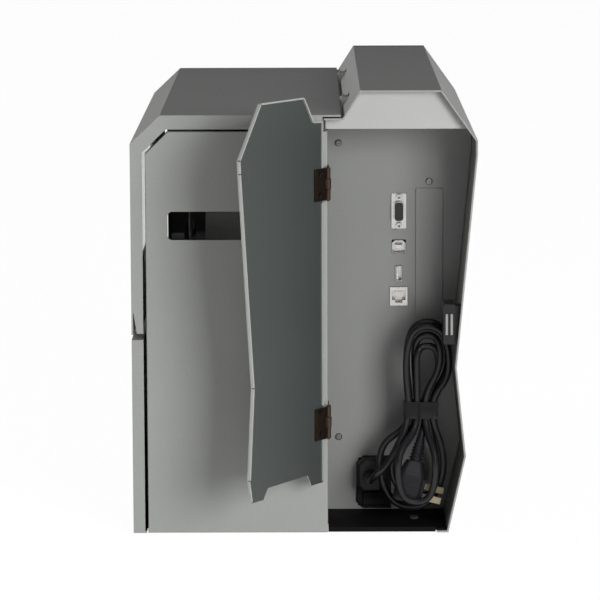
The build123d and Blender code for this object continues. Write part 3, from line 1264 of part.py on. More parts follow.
def tail_route():
    """From the front inner leg straight down, then leaning forward to the plug."""
    start = (WAIST_MIDDLE_X - LEG_PITCH / 2, HANK_FRONT_Y, TAIL_TOP)
    leave = (start[0], start[1], TAIL_TOP - 3.5)
    top, aim = Vector(*PLUG_TOP), Vector(*PLUG_AIM).normalized()
    return [start, leave, (top - aim * 5).to_tuple(), PLUG_TOP]


def cord_tail():
    """The short end from the tie to the plug."""
    return routed_cord("tail", tail_route())


def cord_connector():
    """Appliance connector in the inlet, with its two cut corners and ribbed boot."""
    x, tip, z = CONNECTOR_TIP
    y = COMPARTMENT_Y
    nose = rounded_block(x, y - 14, y + 3.3, z, SOCKET_TALL, SOCKET_WIDE, 2.0)
    w, h, c = 10.5, 14.5, 5.0
    back = [(x - w, z - h), (x - w, z + h), (x + w - c, z + h), (x + w, z + h - c),
            (x + w, z - h + c), (x + w - c, z - h)]
    body = across(back, y + 3.3, y + 17)
    body = fillet([e for e in body.edges() if abs(e.center().Y - y - 17) < 0.01], 2.5)
    boot = rod_y(y + 16, tip - 0.02, x, z, CORD / 2 + 1.2)
    for i in range(4):
        boot += rod_y(y + 18 + 3 * i, y + 19.6 + 3 * i, x, z, CORD / 2 + 2.6 - 0.25 * i)
    return nose + body + boot


def plug_place():
    """Frame of the hanging plug: Z runs down its body, X is across it, Y is its thickness."""
    aim = Vector(*PLUG_AIM).normalized()
    across_x = Vector(PLUG_AIM[2], 0, -PLUG_AIM[0]) * -1
    return Plane(origin=Vector(*PLUG_TOP) + aim * 0.02, z_dir=aim, x_dir=across_x)


def power_plug():
    """Moulded plug: ribbed relief, tapering body with grip pads and a raised pin face."""
    relief = Solid.make_cone(CORD / 2 + 0.5, CORD / 2 + 1.8, RELIEF)
    for i in range(5):
        relief += Pos(0, 0, 6 + 3 * i) * Cylinder(CORD / 2 + 1.6 + 0.3 * i, 1.6)
    low = Plane.XY * RectangleRounded(15, 12, 4)
    high = Plane.XY.offset(12) * RectangleRounded(PLUG_WIDE, PLUG_THICK, 5)
    neck = loft([low, high])
    main = extrude(Plane.XY.offset(12) * RectangleRounded(PLUG_WIDE, PLUG_THICK, 5), amount=PLUG_BODY - 12)
    main = fillet(main.edges().group_by(Axis.Z)[-1], 3)
    body = Pos(0, 0, RELIEF - 0.5) * (neck + main)
    for side in (-1, 1):
        for i in range(4):
            body += Pos(0, side * PLUG_THICK / 2, RELIEF + 16 + 4 * i) * Box(11, 1.0, 1.8)
    face = Pos(-PLUG_WIDE / 2, 0, RELIEF + PLUG_BODY - 14) * Box(2.4, PLUG_THICK - 4, 19)
    return plug_place() * (relief + body + face)


def plug_pins():
    """Three flat pins, two of them leaning together, standing out of the plug's side."""
    pins = []
    for dy, dz, lean in ((-3.2, -4.0, 30), (3.2, -4.0, -30), (0, 5.2, 0)):
        blade = Pos(-PLUG_WIDE / 2 - 1.2 - 8.5, dy, RELIEF + PLUG_BODY - 14 + dz) * Rot(lean, 0, 0)
        pins.append(plug_place() * (blade * Box(17, 1.6, 5.6)))
    return Compound([pin.solids()[0] for pin in pins])


def cord_tie():
    """Fabric strap round the legs of the hank, with its loose end lapped over."""
    wide = LEG_PITCH * 3 + CORD + 2.2
    deep = LEG_PITCH + CORD + 2.2
    y = HANK_FRONT_Y - LEG_PITCH / 2
    outer = Plane.XY * RectangleRounded(wide + 2 * TIE_WALL, deep + 2 * TIE_WALL, 5.5)
    inner = Plane.XY * RectangleRounded(wide, deep, 4)
    band = extrude(outer, amount=TIE_TALL) - extrude(inner, amount=TIE_TALL)
    band += Pos(-wide / 2 + 5, deep / 2 + TIE_WALL + 0.5, TIE_TALL / 2) * Box(12, 1.4, TIE_TALL - 1)
    return Pos(WAIST_MIDDLE_X, y, TIE_Z - TIE_TALL / 2) * band


SUB_PARTS = {
    "base_plate": base_plate, "rubber_feet": rubber_feet, "rear_media_panel": rear_media_panel,
    "front_media_panel": front_media_panel, "bulkhead": bulkhead, "connector_panel": connector_panel,
    "rear_cap": rear_cap, "electronics_cover": electronics_cover, "lower_side_panel": lower_side_panel,
    "front_fascia": front_fascia, "display_glass": display_glass, "front_key": front_key,
    "serial_port": serial_port, "usb_ports": usb_ports,
    "network_port": network_port, "expansion_cover": expansion_cover, "panel_screws": panel_screws,
    "power_inlet": power_inlet, "power_rocker": power_rocker, "catch_body": catch_body,
    "catch_poles": catch_poles, "door_hinge_leaves": door_hinge_leaves,
    "cover_hinge_brackets": cover_hinge_brackets, "supply_spindle": supply_spindle,
    "print_frame": print_frame, "media_guide": media_guide, "edge_guide": edge_guide,
    "platen_bushes": platen_bushes, "tear_bar": tear_bar, "damper_bar": damper_bar,
    "rfid_antenna": rfid_antenna, "main_board": main_board, "power_supply": power_supply,
    "drive_motor": drive_motor, "media_cover": media_cover, "cover_window": cover_window,
    "cover_hinge_arms": cover_hinge_arms, "rear_door": rear_door,
    "door_hinge_plates": door_hinge_plates, "supply_hub": supply_hub, "label_roll": label_roll,
    "roll_core": roll_core, "roll_guide": roll_guide,
    "ribbon_supply_spindle": lambda: ribbon_spindle(RIBBON_SUPPLY_Y), "ribbon_roll": ribbon_roll,
    "ribbon_takeup_spindle": lambda: ribbon_spindle(RIBBON_TAKEUP_Y),
    "platen_roller": platen_roller, "platen_gear": platen_gear, "idler_gear": idler_gear,
    "motor_pinion": lambda: motor_pinion() + motor_shaft(),
    "printhead_carrier": printhead_carrier, "thermal_head": thermal_head,
    "latch_lever": latch_lever, "cord_connector": cord_connector, "cord_lead": cord_lead,
    "cord_hank": cord_hank, "cord_tie": cord_tie, "cord_tail": cord_tail, "power_plug": power_plug,
    "plug_pins": plug_pins,
}

os.makedirs("parts", exist_ok=True)
for sub_part, make in SUB_PARTS.items():
    write(sub_part, make())
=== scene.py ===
"""Looks of the label printer: finishes, power cord, small metalwork, floor, light and camera."""
from math import cos, pi, radians, sin, sqrt

import bmesh
import bpy
from mathutils import Matrix, Vector


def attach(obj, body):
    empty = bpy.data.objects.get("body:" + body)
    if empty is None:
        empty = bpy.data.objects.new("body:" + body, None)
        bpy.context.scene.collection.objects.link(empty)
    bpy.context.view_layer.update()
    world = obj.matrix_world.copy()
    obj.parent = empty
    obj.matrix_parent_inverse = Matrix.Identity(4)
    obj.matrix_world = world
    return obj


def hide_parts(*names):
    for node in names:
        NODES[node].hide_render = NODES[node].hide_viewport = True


bl_info = {
    "name": "Label Printer",
    "version": (1, 0, 0),
    "blender": (4, 5, 0),
    "location": "3D View > Sidebar > Printer",
    "description": "Finishes and details for a label printer with an open cable door",
    "category": "Object",
}

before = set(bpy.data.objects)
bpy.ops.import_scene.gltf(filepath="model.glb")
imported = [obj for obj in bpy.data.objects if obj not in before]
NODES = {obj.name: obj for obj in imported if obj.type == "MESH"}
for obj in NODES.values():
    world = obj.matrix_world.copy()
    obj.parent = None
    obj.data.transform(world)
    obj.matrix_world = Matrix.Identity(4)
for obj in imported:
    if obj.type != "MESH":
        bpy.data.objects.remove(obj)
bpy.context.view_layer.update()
MM = 0.001


# Sizes and colours

def length_prop(name, default, description):
    return bpy.props.FloatProperty(name=name, default=default, description=description, unit="LENGTH",
                                   precision=4)


def colour_prop(name, default, description):
    return bpy.props.FloatVectorProperty(name=name, default=default, description=description, size=3,
                                         subtype="COLOR", min=0.0, max=1.0)


def factor_prop(name, default, description):
    return bpy.props.FloatProperty(name=name, default=default, description=description, min=0.0, max=1.0,
                                   subtype="FACTOR")


def power_prop(name, default, description):
    return bpy.props.FloatProperty(name=name, default=default, description=description, unit="POWER",
                                   min=0.0)


class PrinterCasework(bpy.types.PropertyGroup):
    """Coats of the sheet metal and the plastic."""

    cover: colour_prop("Cover coat", (0.262, 0.268, 0.257), "Metallic coat of the covers and the door")
    # painted shade: the panel coat is darker than the cover coat to stand for the shade in the recessed port
    # bay
    panel: colour_prop("Panel coat", (0.186, 0.190, 0.183), "Metallic coat of the inner panels")
    # partly painted light: the cap coat is lighter than the cover coat, partly the cap's own tone and partly
    # a painted reflection
    cap: colour_prop("Cap coat", (0.360, 0.364, 0.352), "Lighter coat of the cap over the ports")
    # painted highlight: the door coat is lighter than the cover coat so that the turned rim reads bright
    rim: colour_prop("Door coat", (0.320, 0.325, 0.313), "Coat of the door's outside and rim")
    # painted shade: this dark colour on the door's inner face stands for shade and dark reflections
    shade_lining: colour_prop("Door lining", (0.066, 0.074, 0.071), "Dark inner face of the door")
    tray: colour_prop("Tray coat", (0.004, 0.004, 0.004), "Black coat of the base")
    plastic: colour_prop("Black plastic", (0.008, 0.008, 0.009), "Connectors, inlet and catch")
    guide: colour_prop("Grey plastic", (0.16, 0.17, 0.18), "Hubs, guides and levers")
    coat_roughness: factor_prop("Coat roughness", 0.42, "How matt the metallic coat is")
    flake: length_prop("Flake size", 0.0006, "Size of the flakes in the coat")


class PrinterCord(bpy.types.PropertyGroup):
    """Sizes of the power cord."""

    diameter: length_prop("Diameter", 0.006, "Outside of the jacket")
    total: length_prop("Length", 1.314, "From the connector to the plug, along the hank")
    jacket: colour_prop("Jacket", (0.007, 0.007, 0.008), "Colour of the jacket and the plug")
    strap: colour_prop("Strap", (0.006, 0.006, 0.006), "Colour of the woven strap")


class PrinterStage(bpy.types.PropertyGroup):
    """Floor, light and camera."""

    floor: colour_prop("Floor", (0.65, 0.65, 0.65), "Colour of the floor")
    key_power: power_prop("Key light", 140.0, "Soft light beside the camera")
    fill_power: power_prop("Fill light", 60.0, "Soft light on the media side")
    glint_power: power_prop("Glint light", 14.0, "Small light that only glossy surfaces show")
    lens: bpy.props.FloatProperty(name="Lens", default=204.24, description="Focal length", unit="CAMERA")


# Meshes

def finished(name, mesh, material, body, replaces=()):
    """Puts a mesh in the scene as a piece of the object."""
    piece = bpy.data.objects.new(name, mesh)
    bpy.context.scene.collection.objects.link(piece)
    mesh.materials.clear()
    mesh.materials.append(material)
    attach(piece, body)
    if replaces:
        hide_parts(*replaces)
    return piece


def mesh_from(bm, name, smooth=True):
    """A mesh from bmesh data, with its faces turned outwards."""
    bmesh.ops.remove_doubles(bm, verts=bm.verts, dist=1e-7)
    bmesh.ops.recalc_face_normals(bm, faces=bm.faces)
    mesh = bpy.data.meshes.new(name)
    bm.to_mesh(mesh)
    bm.free()
    for face in mesh.polygons:
        face.use_smooth = smooth
    return mesh


# Shader nodes

class Shade:
    """A material in the making: its tree, its main shader and short ways to add nodes."""

    def __init__(self, name, colour, roughness, metallic=0.0):
        self.material = bpy.data.materials.new(name)
        self.material.use_nodes = True
        self.tree = self.material.node_tree
        self.shader = self.tree.nodes["Principled BSDF"]
        self.shader.inputs["Base Color"].default_value = (*colour, 1.0)
        self.shader.inputs["Roughness"].default_value = roughness
        self.shader.inputs["Metallic"].default_value = metallic
        self.place = self.tree.nodes.new("ShaderNodeTexCoord").outputs["Object"]

    def node(self, kind, inputs=None, **settings):
        made = self.tree.nodes.new(kind)
        for key, value in settings.items():
            setattr(made, key, value)
        for key, value in (inputs or {}).items():
            socket = made.inputs[key]
            if isinstance(value, bpy.types.NodeSocket):
                self.tree.links.new(value, socket)
            else:
                socket.default_value = value
        return made

    def join(self, output, socket):
        self.tree.links.new(output, self.shader.inputs[socket])

    def mapped(self, scale=(1, 1, 1), centre=(0, 0, 0)):
        shifted = self.node("ShaderNodeVectorMath", {0: self.place, 1: centre}, operation="SUBTRACT")
        return self.node("ShaderNodeMapping", {"Vector": shifted.outputs[0], "Scale": scale},
                         vector_type="POINT").outputs[0]

    def noise(self, size, detail=2.0, vector=None):
        return self.node("ShaderNodeTexNoise", {"Vector": vector or self.place, "Scale": 1.0 / size,
                                                "Detail": detail, "Roughness": 0.5}).outputs["Fac"]

    def ramp(self, value, low, high, start=0.0, end=1.0):
        return self.node("ShaderNodeMapRange", {"Value": value, "From Min": start, "From Max": end,
                                                "To Min": low, "To Max": high}).outputs["Result"]

    def tint(self, value, low, high):
        mix = self.node("ShaderNodeMix", data_type="RGBA")
        self.tree.links.new(value, mix.inputs["Factor"])
        for socket in mix.inputs:
            if socket.type == "RGBA" and socket.name in "AB":
                socket.default_value = (*(low if socket.name == "A" else high), 1.0)
        return next(o for o in mix.outputs if o.type == "RGBA")

    def relief(self, height, distance, strength=1.0, soft_edge=0.0):
        bump = self.node("ShaderNodeBump", {"Height": height, "Distance": distance, "Strength": strength})
        if soft_edge:
            bevel = self.node("ShaderNodeBevel", {"Radius": soft_edge}, samples=4)
            self.tree.links.new(bevel.outputs["Normal"], bump.inputs["Normal"])
        self.tree.links.new(bump.outputs["Normal"], self.shader.inputs["Normal"])
        return bump


def shaded(colour, amount):
    return tuple(min(1.0, max(0.0, c * amount)) for c in colour)


def coat(name, colour, roughness, flake, metallic=0.3):
    """Metallic satin coat: faint flakes, a slow cloudiness and a slight grain."""
    made = Shade(name, colour, roughness, metallic)
    flakes = made.noise(flake, 1.0)
    cloud = made.noise(0.11, 2.0)
    both = made.node("ShaderNodeMath", {0: made.ramp(flakes, -0.5, 0.5, 0.3, 0.7),
                                        1: made.ramp(cloud, -0.3, 0.3, 0.3, 0.7)}, operation="ADD").outputs[0]
    made.join(made.tint(made.ramp(both, 0.0, 1.0, -0.8, 0.8), shaded(colour, 0.94), shaded(colour, 1.06)),
              "Base Color")
    made.join(made.ramp(flakes, roughness - 0.03, roughness + 0.03, 0.3, 0.7), "Roughness")
    made.relief(flakes, 0.00002, 0.3, 0.0005)
    return made.material


def moulded(name, colour, roughness=0.5, grain=0.0006, depth=0.00004, soft_edge=0.0004,
            shine=0.5):
    """Moulded plastic with a fine spark-eroded grain and slightly uneven gloss."""
    made = Shade(name, colour, roughness)
    made.shader.inputs["Specular IOR Level"].default_value = shine
    spots = made.noise(grain, 2.0)
    cloud = made.noise(0.03, 3.0)
    made.join(made.tint(cloud, shaded(colour, 0.85), shaded(colour, 1.2)), "Base Color")
    made.join(made.ramp(cloud, roughness - 0.07, roughness + 0.07, 0.25, 0.75), "Roughness")
    made.relief(spots, depth, 0.7, soft_edge)
    return made.material


def metal(name, colour, roughness, stretch=(1, 1, 1)):
    """Bare metal, brushed along one axis, with faint stains."""
    made = Shade(name, colour, roughness, 1.0)
    lines = made.noise(0.0004, 3.0, made.mapped(scale=stretch))
    stain = made.noise(0.012, 3.0)
    made.join(made.tint(stain, shaded(colour, 0.8), shaded(colour, 1.1)), "Base Color")
    made.join(made.ramp(lines, roughness - 0.08, roughness + 0.12, 0.3, 0.7), "Roughness")
    made.relief(lines, 0.00002, 0.6, 0.0003)
    return made.material


def wound(name, colour, edge_colour, centre, step, roughness):
    """A roll wound from thin material: fine rings on its ends, centred on an X axis."""
    made = Shade(name, colour, roughness)
    place = made.mapped(scale=(0, 1, 1), centre=centre)
    radius = made.node("ShaderNodeVectorMath", {0: place}, operation="LENGTH").outputs["Value"]
    rings = made.node("ShaderNodeMath", {0: radius, 1: 2 * pi / step}, operation="MULTIPLY").outputs[0]
    wave = made.node("ShaderNodeMath", {0: rings}, operation="SINE").outputs[0]
    uneven = made.noise(0.0021, 2.0, made.mapped(scale=(0.2, 1, 1)))
    both = made.node("ShaderNodeMath", {0: wave, 1: uneven}, operation="MULTIPLY").outputs[0]
    made.join(made.tint(made.ramp(both, 0.0, 1.0, -0.6, 0.6), edge_colour, colour), "Base Color")
    made.relief(both, 0.0001, 0.5)
    return made.material


def woven(name, colour, pitch):
    """Woven tape: two crossed sets of threads with a soft sheen."""
    made = Shade(name, colour, 0.85)
    parts = made.node("ShaderNodeSeparateXYZ", {0: made.mapped()})
    waves = []
    for axis in ("X", "Z"):
        turns = made.node("ShaderNodeMath", {0: parts.outputs[axis], 1: 2 * pi / pitch},
                          operation="MULTIPLY").outputs[0]
        waves.append(made.node("ShaderNodeMath", {0: turns}, operation="SINE").outputs[0])
    cross = made.node("ShaderNodeMath", {0: waves[0], 1: waves[1]}, operation="MULTIPLY").outputs[0]
    made.join(made.tint(made.ramp(cross, 0, 1, -1, 1), shaded(colour, 0.7), shaded(colour, 1.7)),
              "Base Color")
    made.shader.inputs["Sheen Weight"].default_value = 0.08
    made.relief(cross, 0.0002, 0.8)
    return made.material


def glass(name, colour, alpha, roughness=0.08):
    """Clear or dark window sheet with a few fine marks."""
    made = Shade(name, colour, roughness)
    made.shader.inputs["Alpha"].default_value = alpha
    made.shader.inputs["IOR"].default_value = 1.49
    smears = made.noise(0.02, 4.0, made.mapped(scale=(1, 3, 1)))
    made.join(made.ramp(smears, roughness - 0.03, roughness + 0.12, 0.4, 0.8), "Roughness")
    return made.material


def dress(material, *names):
    """Gives CAD nodes their finish."""
    for name in names:
        data = NODES[name].data
        data.materials.clear()
        data.materials.append(material)


# Geometry Nodes

def row_tree(name, material):
    """A tree that sets small blocks or rods in a straight row."""
    tree = bpy.data.node_groups.new(name, "GeometryNodeTree")
    face = tree.interface
    face.new_socket("Geometry", in_out="INPUT", socket_type="NodeSocketGeometry")
    for label, kind in (("Count", "NodeSocketInt"), ("Start", "NodeSocketVector"),
                        ("Step", "NodeSocketVector"), ("Size", "NodeSocketVector"),
                        ("Round", "NodeSocketBool")):
        face.new_socket(label, in_out="INPUT", socket_type=kind)
    face.new_socket("Geometry", in_out="OUTPUT", socket_type="NodeSocketGeometry")
    new, link = tree.nodes.new, tree.links.new
    given, out = new("NodeGroupInput"), new("NodeGroupOutput")
    line = new("GeometryNodeMeshLine")
    block = new("GeometryNodeMeshCube")
    rod = new("GeometryNodeMeshCylinder")
    rod.inputs["Vertices"].default_value = 16
    rod.inputs["Radius"].default_value = 0.5
    rod.inputs["Depth"].default_value = 1.0
    turned = new("GeometryNodeTransform")
    turned.inputs["Rotation"].default_value = (pi / 2, 0, 0)
    scaled = new("GeometryNodeTransform")
    switch = new("GeometryNodeSwitch")
    switch.input_type = "GEOMETRY"
    copies = new("GeometryNodeInstanceOnPoints")
    real = new("GeometryNodeRealizeInstances")
    painted = new("GeometryNodeSetMaterial")
    painted.inputs["Material"].default_value = material
    link(given.outputs["Count"], line.inputs["Count"])
    link(given.outputs["Start"], line.inputs["Start Location"])
    link(given.outputs["Step"], line.inputs["Offset"])
    link(rod.outputs["Mesh"], turned.inputs["Geometry"])
    link(given.outputs["Round"], switch.inputs["Switch"])
    link(block.outputs["Mesh"], switch.inputs["False"])
    link(turned.outputs["Geometry"], switch.inputs["True"])
    link(switch.outputs["Output"], scaled.inputs["Geometry"])
    link(given.outputs["Size"], scaled.inputs["Scale"])
    link(line.outputs["Mesh"], copies.inputs["Points"])
    link(scaled.outputs["Geometry"], copies.inputs["Instance"])
    link(copies.outputs["Instances"], real.inputs["Geometry"])
    link(real.outputs["Geometry"], painted.inputs["Geometry"])
    link(painted.outputs["Geometry"], out.inputs["Geometry"])
    return tree


def grown(name, tree, values):
    """The plain mesh that a tree makes with these inputs."""
    holder = bpy.data.objects.new(name + "_holder", bpy.data.meshes.new(name + "_holder"))
    bpy.context.scene.collection.objects.link(holder)
    modifier = holder.modifiers.new("Rule", "NODES")
    modifier.node_group = tree
    for item in tree.interface.items_tree:
        if item.in_out == "INPUT" and item.name in values:
            modifier[item.identifier] = values[item.name]
    bpy.context.view_layer.update()
    result = holder.evaluated_get(bpy.context.evaluated_depsgraph_get())
    mesh = bpy.data.meshes.new_from_object(result)
    bpy.data.objects.remove(holder)
    mesh.name = name
    return mesh


def merged(name, meshes):
    """One mesh from several."""
    bm = bmesh.new()
    for mesh in meshes:
        bm.from_mesh(mesh)
    whole = bpy.data.meshes.new(name)
    bm.to_mesh(whole)
    bm.free()
    return whole


# Power cord

WAIST_X, TIE_Z = -0.1010, 0.1025
FRONT_Y, PITCH = 0.198, 0.0067
UPPER_X = -0.1065
LEAD = [(-57.0, 184.0, 38.0), (-57.0, 195.0, 38.0), (-62.5, 204.5, 47.0), (-72.0, 204.0, 55.0),
        (-79.5, 204.0, 70.0), (-86.5, 199.3, 83.0)]
LEAD_END, LEAD_AIM = (-89.9, 199.0, 91.0), (-0.10, -0.09, 0.99)
TAIL_BEND, TAIL_TOP = (-104.3, 191.4, 89.0), 92.0
# the plug's place and lean in the frame, and behind the front loop, where it hangs here
FRAME_PLUG = ((-103.2, 202.5, 80.0), (0.19, 0.36, -0.96))
PLUG_TOP, PLUG_LEAN = (-100.8, 201.2, 78.0), (0.24, 0.13, -0.95)
# half width, top and widest height above the tie of each upper loop
UPPER = ((18.5, 175.5, 40.0), (18.0, 178.5, 45.0), (11.0, 167.5, 50.0), (9.5, 158.0, 44.5))
# right, left, bottom and widest height below the tie of each lower loop
LOWER = ((-120.5, -65.5, 16.0, 46.5), (-118.5, -76.0, 24.5, 52.0), (-113.0, -80.5, 25.5, 51.0))
FRONT_LOOP_Y = (221.0, 220.0)


def hank_passes():
    """Places and directions that the cord passes in the hank, in millimetres."""
    tie, waist, front, pitch = TIE_Z / MM, WAIST_X / MM, FRONT_Y / MM, PITCH / MM
    back = front - pitch
    rising = ((1.5 * pitch, front), (1.5 * pitch, back), (0.5 * pitch, back), (0.5 * pitch, front))
    falling = rising[:2] + rising[:1:-1]
    up, down = (0, 0, 1), (0, 0, -1)
    middle_x = UPPER_X / MM
    passes = [(LEAD_END, LEAD_AIM)]
    for i, (half, top, wide) in enumerate(UPPER):
        (leg, y), (fall, y_fall) = rising[i], falling[i]
        if i:
            passes.append(((waist + leg, y, tie), up))
        passes.append(((middle_x + half, y, tie + wide), up))
        passes.append(((middle_x, (y + y_fall) / 2, top), (-1, 0, 0)))
        passes.append(((middle_x - half, y_fall, tie + wide), down))
        passes.append(((waist - fall, y_fall, tie), down))
        if i < len(LOWER):
            right, left, bottom, wide = LOWER[i]
            y_here, y_next = FRONT_LOOP_Y if i == len(LOWER) - 1 else (y_fall, rising[i + 1][1])
            passes.append(((right, y_here, tie - wide), down))
            passes.append((((right + left) / 2, y_here + (y_next - y_here) * 0.2, bottom), (1, 0, 0)))
            passes.append(((left, y_next, tie - wide), up))
    passes.append(((waist - pitch / 2, back, TAIL_TOP), down))
    return passes


def leaning(top, aim):
    """The frame of the plug: Z down its body, X across it."""
    z_dir = Vector(aim).normalized()
    x_dir = Vector((-aim[2], 0, aim[0])).normalized()
    y_dir = z_dir.cross(x_dir)
    turn = Matrix((x_dir, y_dir, z_dir)).transposed().to_4x4()
    return Matrix.Translation(Vector(top) * MM) @ turn


def moved_copy(name, place, material):
    """A CAD node's mesh, merged and carried to another place."""
    bm = bmesh.new()
    bm.from_mesh(NODES[name].data)
    bmesh.ops.remove_doubles(bm, verts=bm.verts, dist=1e-7)
    bmesh.ops.transform(bm, matrix=place, verts=bm.verts)
    mesh = bpy.data.meshes.new("hung_" + name)
    bm.to_mesh(mesh)
    bm.free()
    return finished("hung_" + name, mesh, material, "chassis", (name,))


def cord_points():
    """Control points of the whole cord: lead, hank and the short end at the plug."""
    points = [Vector(p) for p in LEAD]
    passes = [(Vector(p), Vector(d).normalized()) for p, d in hank_passes()]
    for (a, leave), (b, arrive) in zip(passes, passes[1:]):
        chord, both = b - a, leave + arrive
        spread = 2 * (1 - leave.dot(arrive))
        if spread < 1e-6:
            reach = chord.dot(chord) / (4 * chord.dot(arrive))
        else:
            root = sqrt(chord.dot(both) ** 2 + 2 * (1 - leave.dot(arrive)) * chord.dot(chord))
            reach = (root - chord.dot(both)) / spread
        points += [a + leave * reach, b - arrive * reach]
    top, lean = Vector(PLUG_TOP), Vector(PLUG_LEAN).normalized()
    points += [Vector(TAIL_BEND), top - lean * 5, top]
    return points


class PRINTER_OT_power_cord(bpy.types.Operator):
    """Power cord from the inlet's connector through its tied hank to the hanging plug"""

    bl_idname = "printer.power_cord"
    bl_label = "Power Cord"

    def execute(self, context):
        sizes = context.scene.printer_cord
        curve = bpy.data.curves.new("power_cord", "CURVE")
        curve.dimensions = "3D"
        curve.bevel_depth = sizes.diameter / 2
        curve.bevel_resolution = 5
        curve.resolution_u = 10
        curve.use_fill_caps = True
        spline = curve.splines.new("NURBS")
        points = cord_points()
        spline.points.add(len(points) - 1)
        for item, point in zip(spline.points, points):
            item.co = (*(point * MM), 1.0)
        spline.order_u = 3
        spline.use_endpoint_u = True
        cord = bpy.data.objects.new("power_cord", curve)
        context.scene.collection.objects.link(cord)
        curve.materials.append(moulded("cord_jacket", tuple(sizes.jacket), 0.33, 0.0009, 0.00003, 0, 0.4))
        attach(cord, "chassis")
        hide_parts("cord_lead", "cord_hank", "cord_tail")
        strap = self.strap(sizes)
        hang = leaning(PLUG_TOP, PLUG_LEAN) @ leaning(*FRAME_PLUG).inverted()
        rubber = moulded("plug_rubber", tuple(sizes.jacket), 0.4, shine=0.35)
        plug = moved_copy("power_plug", hang, rubber)
        pins = moved_copy("plug_pins", hang, metal("pin_brass", (0.50, 0.43, 0.30), 0.35, (1, 1, 6)))
        dress(rubber, "cord_connector")
        return {"FINISHED"}

    def strap(self, sizes):
        """Woven strap round the legs: a rounded band with its loose end lapped over."""
        bm = bmesh.new()
        y = FRONT_Y - PITCH / 2
        half_x, half_y, corner, wall, tall = 0.0138, 0.0071, 0.0046, 0.0011, 0.0146
        outline = []
        for cx, cy, start in ((1, 1, 0), (-1, 1, 90), (-1, -1, 180), (1, -1, 270)):
            for step in range(7):
                a = radians(start + step * 15)
                outline.append((cx * (half_x - corner) + corner * cos(a),
                                cy * (half_y - corner) + corner * sin(a), cos(a), sin(a)))
        rows = 9
        rings = []
        for side in (0, 1):
            for row in range(rows):
                t = row / (rows - 1) * 2 - 1
                swell = 0.0004 * (1 - t * t) + side * (wall - 0.0004 * abs(t) ** 6)
                ring = []
                for k, (px, py, nx, ny) in enumerate(outline):
                    ripple = 0.00025 * sin(k * 1.7 + row * 0.9)
                    ring.append(bm.verts.new((WAIST_X + px + nx * (swell + ripple),
                                              y + py + ny * (swell + ripple), TIE_Z + t * tall / 2)))
                rings.append(ring)
        count = len(outline)
        loop = rings[:rows] + rings[rows:][::-1]
        for lower, upper in zip(loop, loop[1:] + loop[:1]):
            for k in range(count):
                bm.faces.new((lower[k], lower[(k + 1) % count], upper[(k + 1) % count], upper[k]))
        flap = []
        for side in (0, 1):
            for row in range(2):
                for k in range(7):
                    x = WAIST_X - 0.0125 + k * 0.0024
                    lift = y + half_y + wall + 0.0004 + side * 0.0010 + (0.0011 if k == 0 else 0.0)
                    z = TIE_Z + (row * 2 - 1) * (tall / 2 - 0.0006)
                    flap.append(bm.verts.new((x, lift, z)))
        for k in range(6):
            a, b = k, k + 1
            corners = [(flap[a + 14 * s + 7 * r], flap[b + 14 * s + 7 * r]) for s in (0, 1) for r in (0, 1)]
            (a00, b00), (a01, b01), (a10, b10), (a11, b11) = corners
            for quad in ((a00, b00, b01, a01), (a10, b10, b11, a11), (a00, b00, b10, a10),
                         (a01, b01, b11, a11)):
                bm.faces.new(quad)
        for k in (0, 6):
            bm.faces.new((flap[k], flap[k + 7], flap[k + 21], flap[k + 14]))
        mesh = mesh_from(bm, "cord_strap")
        material = woven("strap_weave", tuple(sizes.strap), 0.0011)
        return finished("cord_strap", mesh, material, "chassis", ("cord_tie",))


# Cable door

HINGE_AXIS = (-20.6, 239.2)
DOOR_TURN = radians(125.0)
DOOR_SHEET, DOOR_SHADE_LINING, DOOR_GAP = 1.5, 0.3, 0.6
# outline as distance from the hinge axis and height, in millimetres, from the hinge's foot
DOOR_EDGE = ((7.9, 48.4), (7.9, 358.5), (21.9, 359.5), (35.8, 380.8), (98.0, 380.8), (128.0, 336.2),
             (127.4, 325.0), (110.0, 145.1), (116.0, 68.0), (112.0, 48.4), (94.9, 48.4), (88.4, 57.4),
             (30.2, 58.2), (24.4, 48.4))
# depth of the turned rim on each side of the outline; the foot's edges are plain
DOOR_RIMS = (2.6, 3.2, 3.2, 3.2, 3.2, 3.2, 3.2, 3.2, 2.3, 0, 0, 0, 0, 0)
HINGE_HEIGHTS, HINGE_ROOM = (99.8, 304.8), 15.0


def door_place(reach, depth, height):
    """A point of the open door, from its place on the closed door seen from outside."""
    x = -reach
    y = DOOR_GAP + DOOR_SHEET - depth
    return Vector((HINGE_AXIS[0] + x * cos(DOOR_TURN) + y * sin(DOOR_TURN),
                   HINGE_AXIS[1] - x * sin(DOOR_TURN) + y * cos(DOOR_TURN), height)) * MM


def inset_edge(outline, amount):
    """The outline moved inwards, with mitred corners; it runs clockwise."""
    count = len(outline)
    moved = []
    for i in range(count):
        (ax, az), (bx, bz), (cx, cz) = outline[i - 1], outline[i], outline[(i + 1) % count]
        before, after = Vector((bx - ax, bz - az)).normalized(), Vector((cx - bx, cz - bz)).normalized()
        n1, n2 = Vector((before.y, -before.x)), Vector((after.y, -after.x))
        shift = (n1 + n2) * (amount / (1 + n1.dot(n2)))
        moved.append((bx + shift.x, bz + shift.y))
    return moved


def door_plate(bm, layers):
    """A closed plate through outlines at rising depths."""
    rings = [[bm.verts.new(door_place(x, depth, z)) for x, z in outline] for outline, depth in layers]
    count = len(rings[0])
    for lower, upper in zip(rings, rings[1:]):
        for k in range(count):
            bm.faces.new((lower[k], lower[(k + 1) % count], upper[(k + 1) % count], upper[k]))
    bm.faces.new(rings[0])
    bm.faces.new(rings[-1])


